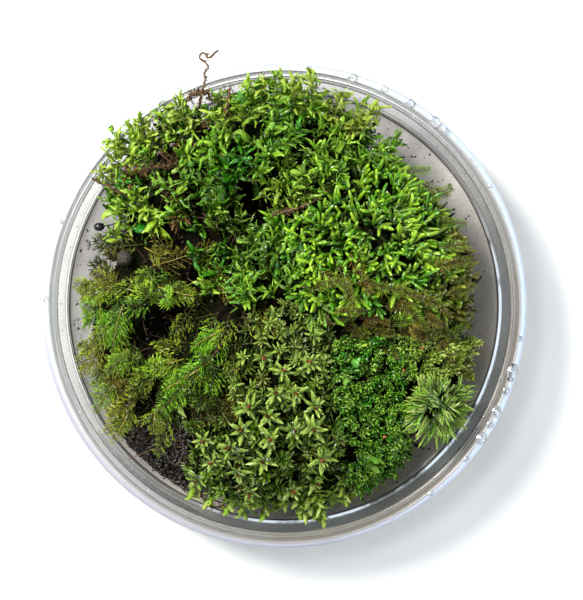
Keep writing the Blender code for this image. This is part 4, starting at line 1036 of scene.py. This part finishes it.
# the broad pale shoots that hang over the floor of the tub
root = HANGING * (0.86, 0.86, 1) + (0, 0, 1.0)
at, along, facing, _ = spiral(root, *arched(root, HANGING, 0.5), 12, 0.1, (1.2, 0.4), dice)
light = dice.uniform(0, 1, len(at))
low, high = toned((96, 132, 20), (144, 170, 50), light), toned((160, 204, 50), (230, 244, 132), light)
hanging = blades(at, along, facing, dice.uniform(2.4, 3.8, len(at)), 1.7, LANCE,
                 dice.normal(-0.6, 0.6, len(at)), dice.uniform(0, 0.4, len(at)), low, high,
                 hook=dice.normal(0, 0.2, len(at)), crisp=0.25)
stalk_foot = foot - heading * 5.5
stalks = stems(stalk_foot, heading, 5.6, 0 * foot, 0.5, 4, shade(60, 40, 16), shade(110, 70, 24))
at, along, facing, _ = spiral(stalk_foot, heading, 5.4, 0 * foot, 7, 0.15, (1.0, 0.9), dice)
under = blades(at, along, facing, 2.3, 1.0, SHORT, dice.normal(0, 0.4, len(at)), -0.2, shade(30, 48, 8),
               shade(84, 118, 24), sides=3)
# a red-brown cup in the middle of each of the larger stars
middle = foot[named] + heading[named] * (1.5 * crown[named, None])
cup = toned((52, 28, 18), (142, 70, 34), dice.uniform(0, 1, len(middle)))
cups = stems(middle, heading[named], dice.uniform(0.7, 1.1, (len(middle), 1)), 0 * middle,
             dice.uniform(0.7, 1.25, len(middle)), 6, cup * 0.5, cup, ((0.1, 0.7), (0.5, 1.0), (0.85, 0.75)))
piece("star_leaves", [leaves, stalks, under, hanging, cups], star, "star_moss", "star_moss")


# ---------------------------------------------------------------- small-leaved turf, lower right
# A low dark green turf of tiny wet leaves in loose whorls on short stalks, rooted close together, yellower
# towards the right edge.
TURF_LEAVES = 12

turf = leaf_finish("turf_leaf", 0.16, 0.22)
dice = np.random.default_rng(606)
x, y = strew(TURF, 1.32, dice, inset=0.8)
foot, heading = flanked(*rooted(x, y, 2.4, 0.5, 0.25, 0.3, dice), TURF, 1.9, 8.0, 16, 14, dice)
length = dice.uniform(2.2, 3.9, len(foot))
sag = dice.normal(0, 0.2, foot.shape)
at, along, facing, share = spiral(foot, heading, length, sag, TURF_LEAVES, 0.3, (1.2, 0.5), dice)
size = dice.uniform(0.8, 1.3, len(at))
yellow = np.repeat(np.clip((foot[:, 0] - 30) / 12 + (foot[:, 1] + 20) / 26, 0, 1), TURF_LEAVES)
size = size * (1 + 0.25 * yellow)
tone = 0.42 + 0.4 * ripple(at[:, 0], at[:, 1], 7, 17) + dice.normal(0, 0.22, len(at))
# painted shade: the leaves darken with depth under the heap, less so at the yellow right edge
painted_depth_shade = (0.08 + 0.92 * sunk(at, 2.1 + 5 * yellow) ** 1.5)[:, None]
low = toned((18, 64, 4), (100, 136, 20), yellow) * painted_depth_shade
green, gold = toned((62, 150, 14), (188, 238, 78), tone), toned((196, 218, 60), (252, 255, 150), tone)
high = (green + (gold - green) * yellow[:, None]) * painted_depth_shade
curl = dice.normal(0.2, 0.5, len(at))
leaves = blades(at, along, facing, 1.35 * size, 0.72 * size, SHORT, curl, -0.15, low, high, sides=3)
stalks = stems(foot, heading, length, sag, 0.2, 3, shade(40, 34, 12), shade(50, 70, 20), THREAD[::3])
piece("turf_leaves", [leaves, stalks], turf, "turf_moss", "turf_moss")


# ---------------------------------------------------------------- needle moss, far lower right
# A tuft of long narrow leaves that spread like a pincushion from one root, light yellow-green with pale tips.

# sprays: a middle, a bearing in degrees from +X, and how far the leaves reach
SPRAYS = np.array((
    (34.0, -22.0, 158, 4.6), (34.6, -20.0, 118, 4.2), (37.6, -20.4, 70, 3.2), (41.0, -21.6, 28, 4.4),
    (41.4, -24.2, 352, 3.4), (40.2, -26.4, 318, 4.6), (37.8, -27.6, 285, 5.6), (35.4, -27.6, 260, 6.0),
    (33.4, -26.4, 225, 5.0), (32.8, -24.2, 190, 5.0), (36.6, -23.0, 150, 3.6), (37.4, -25.0, 290, 4.0),
    (38.8, -24.0, 40, 3.0)))
SPRAY_LEAVES = 39
NEEDLE_LEAF = ((0.12, 0.9), (0.45, 1.0), (0.8, 0.6))

needle = leaf_finish("needle_leaf", 0.28, 0.3)
dice = np.random.default_rng(707)
x, y, bearing, reach = np.repeat(SPRAYS, SPRAY_LEAVES, 0).T
foot = on_heap(x, y, 0.4) + 0.8 * dice.normal(size=(len(x), 3))
along = unit(polar(np.radians(bearing), 1.0, 0.45) + dice.normal(size=foot.shape) * (0.32, 0.32, 0.4))
facing = unit(np.cross(np.cross(along, np.array([0.0, 0, 1])), along))
long = reach * dice.uniform(0.55, 1.15, len(x))
hue = dice.uniform(0, 1, len(x))
leaves = blades(foot, along, facing, long, 0.5, NEEDLE_LEAF, dice.normal(-0.6, 0.3, len(x)), 0.25,
                toned((12, 42, 2), (38, 84, 6), hue), toned((128, 190, 26), (232, 246, 130), hue ** 1.5),
                hook=dice.normal(0, 0.16, len(x)), edge=1.0)
piece("needle_leaves", [leaves], needle, "needle_moss", "needle_moss")


# ---------------------------------------------------------------- broad old leaves
# Single larger leaves that show among the mosses: dark glossy ones round the hollow, small round ones in the
# turf, pale ones that hang down at the bottom edge. Each is fixed by its foot to the moss under it.

# x, y, lift over the heap, length, width, bearing in degrees, tilt up in degrees, curl, colour
BROAD = (
    (-15.0, 29.0, 0.8, 5.6, 2.3, 280, 12, -0.9, (58, 104, 16)),
    (-6.5, 29.5, -0.6, 5.0, 2.4, 265, -8, -0.8, (40, 84, 14)),
    (-11.5, 26.0, -1.2, 4.4, 2.0, 250, -20, -0.6, (34, 76, 12)),
    (-17.5, 26.5, 0.4, 4.2, 1.6, 235, 5, -0.9, (70, 118, 24)),
    (-36.6, 18.9, 1.2, 4.2, 2.6, 350, 12, -0.5, (44, 134, 30)),
    (-33.5, 18.6, 0.8, 3.6, 2.0, 340, 20, -0.8, (120, 160, 40)),
    (-21.0, 34.0, 1.0, 4.2, 1.9, 200, 20, -1.2, (120, 190, 70)),
    (-4.6, 41.0, 2.6, 6.6, 1.5, 28, 20, 1.5, (160, 214, 90)),
    (-7.0, 50.0, 2.0, 5.0, 2.0, 75, 50, -0.5, (132, 188, 92)),
    (-2.8, 51.0, 3.0, 5.4, 1.9, 95, 60, -0.4, (110, 180, 60)),
    (-9.5, 46.5, 1.5, 5.8, 2.1, 105, 55, -0.5, (96, 160, 60)),
    (16.6, -14.6, 2.4, 2.9, 2.1, 65, 20, -0.4, (104, 178, 68)),
    (15.0, -17.0, 2.2, 1.9, 1.7, 250, 15, -0.3, (132, 194, 60)),
    (14.6, -12.4, 2.2, 1.9, 1.1, 100, 25, -0.3, (60, 150, 40)),
    (18.2, -9.6, 2.8, 1.6, 0.7, 5, 10, 0.2, (190, 232, 60)),
    (23.5, -31.5, 3.0, 1.0, 0.6, 40, 10, -0.3, (196, 100, 36)),
    (32.4, -9.6, 3.2, 0.8, 0.6, 300, 10, -0.3, (180, 84, 34)),
    (28.4, -15.6, 3.0, 0.7, 0.5, 80, 10, -0.3, (190, 104, 44)),
    (5.2, -44.0, -2.0, 6.4, 2.3, 262, -35, -0.7, (150, 178, 84)),
    (7.8, -44.5, -3.0, 6.2, 2.2, 276, -40, -0.6, (128, 160, 58)),
    (3.0, -44.2, -2.5, 5.4, 1.9, 250, -35, -0.8, (140, 170, 74)),
    (9.6, -43.0, -2.6, 5.0, 1.8, 290, -30, -0.9, (116, 150, 50)),
    (-10.0, -46.2, -4.5, 4.6, 3.4, 265, -30, -0.8, (176, 206, 96)),
    (-12.4, -45.8, -4.0, 3.8, 2.6, 240, -20, -0.9, (150, 190, 70)),
    (19.0, -35.6, 0.6, 4.6, 1.8, 335, 10, -0.9, (130, 196, 52)),
    (20.2, -37.4, 0.2, 4.2, 1.6, 300, 5, -0.8, (150, 206, 70)),
    (-24.8, -23.6, 0.8, 3.4, 1.5, 285, 5, -0.5, (176, 200, 96)),
    (0.5, 19.0, 1.0, 5.4, 1.5, 300, -15, -0.9, (60, 140, 60)),
    (4.0, 15.0, 0.8, 5.8, 1.5, 268, -18, -1.2, (116, 188, 110)),
    (-1.5, 10.5, 1.0, 5.6, 1.6, 262, -10, -1.0, (100, 170, 96)),
    (-6.0, 17.0, 0.6, 5.4, 1.6, 240, -18, -0.8, (44, 110, 50)),
    (2.5, 21.0, 1.5, 5.6, 1.2, 350, 12, -0.6, (170, 210, 130)))
LEAF = ((0.03, 0.18), (0.12, 0.55), (0.26, 0.86), (0.42, 1.0), (0.58, 0.97), (0.74, 0.78), (0.88, 0.48),
        (0.96, 0.22))
dice = np.random.default_rng(808)
x, y, lift, long, wide, bearing, tilt, curl = np.array([row[:8] for row in BROAD]).T
tone = np.array([shade(*row[8]) for row in BROAD])
bearing, tilt = np.radians(bearing), np.radians(tilt)
leaves = blades(on_heap(x, y, lift), polar(bearing, np.cos(tilt), np.sin(tilt)),
                polar(bearing, -np.sin(tilt), np.cos(tilt)), long, wide, LEAF, curl, 0.4, tone * 0.5, tone,
                hook=dice.normal(0, 0.2, len(x)), twist=dice.normal(0, 0.4, len(x)), crisp=0.26, edge=1.5,
                thick=0.06)
piece("broad_leaves", [leaves], leafy, "leafy_moss")


# ---------------------------------------------------------------- litter and crumbs of soil
# Dead brown stems and rootlets lie in the gaps, and the soil is a crumb of wet lumps, bare in the hollows,
# on the bank at the lower left and low on the clump's sides.


def tinted(name, roughness, grit, shine=0.5):
    """Dead matter in its own tint, with a grain as coarse as grit is small."""
    made, place, shader = finish_of(name)
    grain = place.noise(grit, 4)
    tint = place.node("ShaderNodeAttribute", attribute_name="tint")
    set_finish(shader, Specular_IOR_Level=shine, Roughness=grain.between(0.3, 0.7) * 0.25 + roughness,
               Base_Color=grain.between(0.35, 0.65).blend(tint.dimmed(0.45, 0.42, 0.40), tint),
               Normal=grain.bump(0.8, 0.0002))
    return made


HOLLOWS = HILLS[HILLS[:, 2] < -3][:, [0, 1, 3]]
SLID = 1300
LUMP = ((0.18, 0.75), (0.5, 1.0), (0.84, 0.65))

soil_crumb = tinted("soil_crumb", 0.22, 1500)
dry_stem = tinted("dry_stem", 0.5, 2200, 0.35)
dice = np.random.default_rng(909)
x, y = dice.uniform(-48, 48, (2, 9000))
bare = np.maximum(near(HOLLOWS, x, y), within(BANK, x, y) * 0.9)
keep = inside(x, y, 1.6) & (bare > dice.uniform(0.12, 1.1, len(x)))
x, y = x[keep], y[keep]
depth = np.where(within(BANK, x, y), 0.6, 4.0)
side = edge_places(joined((0, 345)), 1.3, dice, 2.2)
side = side * np.where(dice.uniform(size=(len(side), 1)) < 0.5, (1.03, 1.03, 0.5), (1.015, 1.015, 0.8))
# crumbs that have slid off the bank to the foot of the wall
turn, off, rise = dice.uniform(0, 1, (SLID, 3)).T
off = 44 + 7.8 * off ** 0.7
slid = polar(np.radians(214 + 32 * turn), off, 1.4 + (52.5 - off) * 1.1 * rise ** 0.5)
bank = dice.uniform((-46, -46), (-20, -24), (2600, 2)).T
bank = bank[:, within(BANK, *bank) & inside(*bank, 1.2)]
bank = on_heap(*bank, -dice.uniform(-0.3, 1.0, bank.shape[1]))
centre = np.concatenate([on_heap(x, y, dice.uniform(-0.2, 0.7, len(x)) - depth), side, slid, bank])
axis = unit(dice.normal(size=centre.shape))
size = dice.uniform(0.3, 1.3, len(centre)) ** 1.4
grey = toned((8, 7, 6), (66, 52, 38), dice.uniform(0, 1, len(centre)) ** 2.6)
bend = 0.3 * dice.normal(size=centre.shape)
crumbs = stems(centre - axis * size[:, None] / 2, axis, size, bend, size, 4, grey, grey, LUMP)
piece("soil_crumbs", [crumbs], soil_crumb, "dark_soil")

x, y = dice.uniform(-46, 46, (2, 5200))
bare = np.maximum(near(np.concatenate([HOLLOWS, WITHERED]), x, y),
                  within(BANK, x, y) * 1.6 + within(FEATHER, x, y) * 0.18 + 0.05)
keep = inside(x, y, 3) & (bare > dice.uniform(0.1, 1.6, len(x)))
x, y = x[keep], y[keep]
depth = np.where(within(BANK, x, y), dice.uniform(-0.6, 0.6, len(x)), dice.uniform(0.8, 4.4, len(x)))
foot = on_heap(x, y, -depth)
heading = unit(dice.normal(size=foot.shape) * (1, 1, 0.35))
brown = toned((26, 17, 10), (118, 84, 46), dice.uniform(0, 1, len(x)) ** 1.6)
rootlets = stems(foot, heading, dice.uniform(1.5, 6.5, len(x)), 0.4 * dice.normal(size=foot.shape),
                 dice.uniform(0.12, 0.42, len(x)), 4, brown * 0.6, brown)
piece("dead_rootlets", [rootlets], dry_stem, "dead_stems")


# ---------------------------------------------------------------- dead twigs and stems
# Dead brown shoots that lie on the clump or stick out of it, by given routes: a bent tube with knobbly
# bark, thin side twigs, and on some the frizz of their own curled dead leaves.


def evenly(route, step):
    """Points along a route with its corners eased, a step apart."""
    line = eased(route, 5, 1.6)
    along = np.r_[0, np.cumsum(np.linalg.norm(np.diff(line, axis=0), axis=1))]
    at = np.linspace(0, along[-1], int(along[-1] / step) + 4)
    return np.stack([np.interp(at, along, line[:, k]) for k in range(3)], -1)


def twig(dice, low, high, route, start, end, twigs, reach, frizz=0, leaf=1.8, knobs=0.28, sides=8):
    """A dead shoot from a route, as thick as start and end say: its bark, side twigs and curled leaves, as
    lofts."""
    line = evenly(route, 0.45)
    line[1:-1] += dice.normal(0, 0.05, (len(line) - 2, 3))
    way = unit(np.gradient(line, axis=0))
    side = unit(np.cross(way, (0.21, 0.32, 0.92)))
    up = np.cross(way, side)
    turn = turns(sides)[:, None]
    thick = np.linspace(start, end, len(line))[:, None] / 2
    thick = (thick * dice.uniform(1 - knobs, 1 + knobs, (len(line), sides)))[..., None]
    rings = line[:, None] + thick * (np.cos(turn) * side[:, None] + np.sin(turn) * up[:, None])
    tint = toned(low, high, dice.uniform(0, 1, len(line) * sides + 2))
    first, last = line[:1] - way[:1] * start / 3, line[-1:] + way[-1:] * end / 2
    shapes = [lofts(rings[None], first, last, tint[None])]
    for count, long, wide, leafy_ones in ((twigs, reach, 0.4 * end, False), (frizz, leaf, 0.5, True)):
        if not count:
            continue
        pick = dice.integers(1, len(line) - 1, count)
        out = unit(dice.normal(size=(count, 3)) + 0.5 * way[pick])
        length = long * dice.uniform(0.4, 1.1, count)
        dark = toned(low, high, dice.uniform(0, 0.8, count))
        if leafy_ones:
            facing = unit(np.cross(out, dice.normal(size=out.shape)))
            wide = wide * dice.uniform(0.6, 1.5, count)
            curl, hook = dice.normal(0, 1.6, count), dice.normal(0, 0.4, count)
            shapes.append(blades(line[pick], out, facing, length, wide, SHORT, curl, 0.4, dark, dark * 1.5,
                                 hook))
        else:
            bend = 0.4 * dice.normal(size=out.shape)
            shapes.append(stems(line[pick], out, length, bend, wide, 4, dark, dark))
    return shapes


def laid(*route):
    """A route given as x, y and a height over the heap."""
    return on_heap(*np.array(route, float).T)


BROWN, TAN, RED_BROWN = (46, 33, 21), (142, 110, 72), (48, 24, 14)
# a tangle of two dead shoots at the bottom edge
TANGLE = np.array(((-21.0, -45.0, 12.0), (-19.0, -48.6, 11.0), (-16.4, -49.8, 10.4), (-14.6, -48.8, 11.2),
                   (-13.4, -46.4, 12.0)))
dice = np.random.default_rng(1010)
# each piece: its node, its darkest and palest brown, and its shoots, each with its route, thickness at the
# start and the end, side twigs and how far they reach, curled leaves and their length, and how knobbly it is
for name, nodes, dark, pale, shoots in (
        ("cross_twig_bark", ["cross_twig"], BROWN, TAN, [
            (laid((-3, 21.6, 6), (2.5, 22.9, 1), (6.6, 24.3, 0.6), (9.8, 27.2, 1)),
             0.8, 0.55, 12, 2.0, 40)]),
        ("dead_stem_frizz", ["dead_stem"], BROWN, (124, 90, 52), [
            (laid((-39.5, 30.4, 0.6), (-36.5, 31.9, 1.4), (-34, 31.6, 0.6), (-31.5, 33.4, 1.3),
                  (-28.5, 33.0, 0.5), (-25.5, 34.2, 0.9)),
             0.55, 0.4, 30, 3.6, 120, 2.0)]),
        ("left_twig_bark", ["left_twig"], BROWN, (118, 92, 54), [
            ([(-45.8, 30.6, 25.4), (-44, 29.2, 24.8), (-42.2, 28.9, 24.8), (-40.5, 27.4, 24.2),
              (-38.6, 26.9, 23.8), *laid((-35.8, 25.4, -1))],
             0.42, 0.9, 9, 1.6, 22, 1.3)]),
        ("top_twig_bark", ["top_twig"], BROWN, (136, 98, 62), [
            ([(-12.6, 51.5, 33.5), (-13.2, 48.4, 33.4), (-13.6, 46, 33.8), *laid((-14.4, 43.2, -1))],
             0.5, 0.7, 14, 2.4, 18, 1.6)]),
        ("red_stem_bark", ["red_stem"], RED_BROWN, (104, 60, 36), [
            (laid((-14.6, -8.8, 0.6), (-17.4, -13, 0.5), (-20.7, -14.9, 0.5), (-24, -19.4, 0.6)),
             0.6, 0.35, 7, 1.6, 14, 1.2)]),
        ("dead_sprig_curl", ["dead_sprig"], BROWN, TAN, [
            ([*laid((-20.8, 45, -1.5)), (-19.6, 49.8, 30.6), (-18.9, 51.8, 31.6), (-18.4, 53.6, 32),
              (-18.9, 54.8, 32.4), (-17.6, 56.2, 32.8), (-18.4, 57.3, 33.1), (-19.6, 57.8, 33.3),
              (-20.0, 58.8, 33.5), (-19.0, 59.5, 33.8), (-17.9, 59.1, 34.2), (-18.2, 58.1, 34.6),
              (-17.0, 58.3, 34.6), (-16.4, 59.2, 34.6), (-15.4, 59.8, 34.8)],
             0.6, 0.5, 10, 1.0, 60, 0.9, 0.4),
            ([(-22.6, 48.6, 28.4), (-21.4, 50.6, 29.8), (-19.6, 50.2, 30.4), (-18.2, 51.2, 29.6),
              (-17.4, 49.0, 28.4)],
             0.5, 0.4, 22, 2.2, 110, 1.6)]),
        ("edge_tangle", [], BROWN, TAN, [
            (TANGLE, 0.5, 0.35, 12, 2.6, 30, 1.6),
            (TANGLE[::-1] + (1.2, 1.0, -1.4), 0.4, 0.3, 8, 2.2)])):
    shapes = [shape for shoot in shoots for shape in twig(dice, dark, pale, *shoot)]
    piece(name, shapes, dry_stem, "dead_stems", *nodes)


# ---------------------------------------------------------------- dry bud and spore capsule
# A round brown-grey bud with a fibrous skin lies at the left, and a glossy black capsule on a thin stalk
# stands out of the leafy moss over the wall of the tub.


def lump(centre, radii, rough, seed, rows=12, around=18):
    """A ball with a radius for each axis, its surface pushed in and out by soft waves."""
    rise = (np.linspace(0, 1, rows + 2)[1:-1, None] - 0.5) * np.pi
    ball = polar(turns(around), np.cos(rise), np.sin(rise))
    swell = 1 + rough * ripple(ball[..., 0] * 3 + ball[..., 2], ball[..., 1] * 3, 1.6, seed)
    ends = [centre + np.array([[0, 0, s]]) * radii for s in (-1, 1)]
    return lofts((centre + ball * swell[..., None] * radii)[None], *ends, 1.0)


husk, place, shader = finish_of("bud_husk")
fibre = place.node("ShaderNodeMapping", {"Vector": place, "Scale": (1, 1, 0.25)}).noise(2600, 5)
set_finish(shader, Roughness=0.75, Normal=fibre.bump(1.0, 0.0002),
           Base_Color=fibre.between(0.35, 0.68).blend(shade(14, 11, 8), shade(66, 57, 45)))
piece("bud", [lump(laid((-38.4, 11.4, 0.9))[0], (1.9, 1.85, 1.8), 0.09, 61)], husk, "dry_bud", "dry_bud")

black, place, shader = finish_of("capsule_skin")
set_finish(shader, Roughness=place.noise(2000).between(0.3, 0.8) * 0.2 + 0.12, Base_Color=shade(18, 16, 18))
stalk = [(-44.2, 19.3, 16.4), (-42, 19.6, 17.2), (-40, 20.2, 17.8), (-38.0, 20.4, 19.6)]
piece("capsule", [lump(np.array([-44.9, 19.2, 16.1]), (1.35, 1.05, 1.05), 0.03, 62),
                  *twig(dice, BROWN, BROWN, stalk, 0.4, 0.4, 0, 0, knobs=0.1)],
      black, "black_capsule", "spore_capsule")


# ---------------------------------------------------------------- drops and specks in the tub
# Drops of water stand on the lip and on a few leaf stars, and specks of soil have fallen on the floor of the
# tub.
water, place, shader = finish_of("water")
set_finish(shader, Base_Color=(1.0, 1.0, 1.0), Transmission_Weight=1.0, IOR=1.33, Roughness=0.0)
# bearing in degrees, distance from the middle, width and length round the lip
LIP_DROPS = np.array((
    (73.2, 57.2, 2.2, 2.4), (65.1, 57.4, 1.6, 1.8), (58.1, 57.3, 2.3, 2.7), (50.7, 57.2, 2.6, 3.5),
    (47.0, 57.2, 1.6, 1.6), (-16.3, 57.2, 2.6, 4.6), (-26.5, 57.1, 2.2, 3.0), (-34.0, 57.2, 2.4, 3.5),
    (-21.0, 57.1, 1.5, 2.3), (-30.0, 57.2, 1.5, 2.2), (159.4, 57.2, 1.2, 1.2), (178.4, 57.3, 1.2, 1.4),
    (108.9, 57.5, 1.0, 1.0), (-40.0, 57.3, 1.2, 1.8), (-8.0, 57.3, 1.1, 1.5), (30.0, 57.3, 0.9, 1.1),
    (84.0, 57.3, 1.0, 1.4), (-52.0, 57.3, 1.0, 1.3)))
TINY = 170
LIP, LEDGE = 57.2, (55.2, 55.7)       # where the tiny drops stand, on the lip and on the ledge
LIP_TOP, LEDGE_TOP = 21.98, 17.98
FLOOR_TOP = 0.84
WET_STARS = STARS[[4, 8, 9, 15, 6, 10]]


def drops(centre, wide, long, tall, way, around=8):
    """Flat-bottomed drops: rings that follow half an ellipse, long across their way round the lip."""
    rise = np.radians((4, 34, 62))[:, None]
    u, v, w = polar(turns(around), np.cos(rise), np.sin(rise))[None, ..., None].transpose(3, 0, 1, 2, 4)
    out = polar(way)[:, None, None]
    side = xyz(-np.sin(way), np.cos(way), 0)[:, None, None]
    wide, long, tall = (np.reshape(v / 2, (-1, 1, 1, 1)) for v in (wide, long, tall))
    rings = centre[:, None, None] + wide * u * out + long * v * side + 2 * tall * w * np.array([0, 0, 1.0])
    return lofts(rings, centre, centre + (2 * tall[:, 0, 0]) * np.array([0, 0, 1.0]), np.ones(3))


dice = np.random.default_rng(1111)
tiny = [dice.normal(0, 55, TINY), np.where(dice.uniform(size=TINY) < 0.3, LIP, dice.uniform(*LEDGE, TINY)),
        *dice.uniform(0.18, 0.6, (2, TINY))]
stars = np.repeat(WET_STARS, 7, 0)
stars = stars + 0.5 * dice.normal(size=stars.shape)
stars = on_heap(*stars.T, 3.1 + dice.uniform(0, 0.3, len(stars)))
bead = dice.uniform(0.45, 0.8, len(stars))
made = []
for (way, off, wide, long), around in ((LIP_DROPS.T, 20), (tiny, 8)):
    way = np.radians(way)
    top = np.where(off > 56, LIP_TOP, LEDGE_TOP + (off - LEDGE[0]) * 0.5)
    made.append(drops(polar(way, off, top), wide, long, 0.42 * wide, way, around))
made.append(drops(stars, bead, bead, 0.6 * bead, 0 * bead))
piece("drops", made, water, "clear_plastic")

way = np.radians(np.r_[dice.uniform(0, 360, 190), dice.normal(172, 14, 60), dice.normal(52, 10, 30)])
at = polar(way, dice.uniform(rim(np.cos(way), np.sin(way)) + 0.5, 53.2), FLOOR_TOP)
flat = unit(dice.normal(size=at.shape) * (1, 1, 0))
size = dice.uniform(0.15, 0.9, len(at)) ** 1.5 + 0.12
up = np.tile([0.0, 0, 1], (len(at), 1))
specks = blades(at, flat, up, size, 0.6 * size, SHORT, 0.05, 0.1, shade(30, 24, 20), shade(52, 42, 34),
                hook=0.2, thick=0.06)
piece("floor_specks", [specks], dry_stem, "dark_soil")
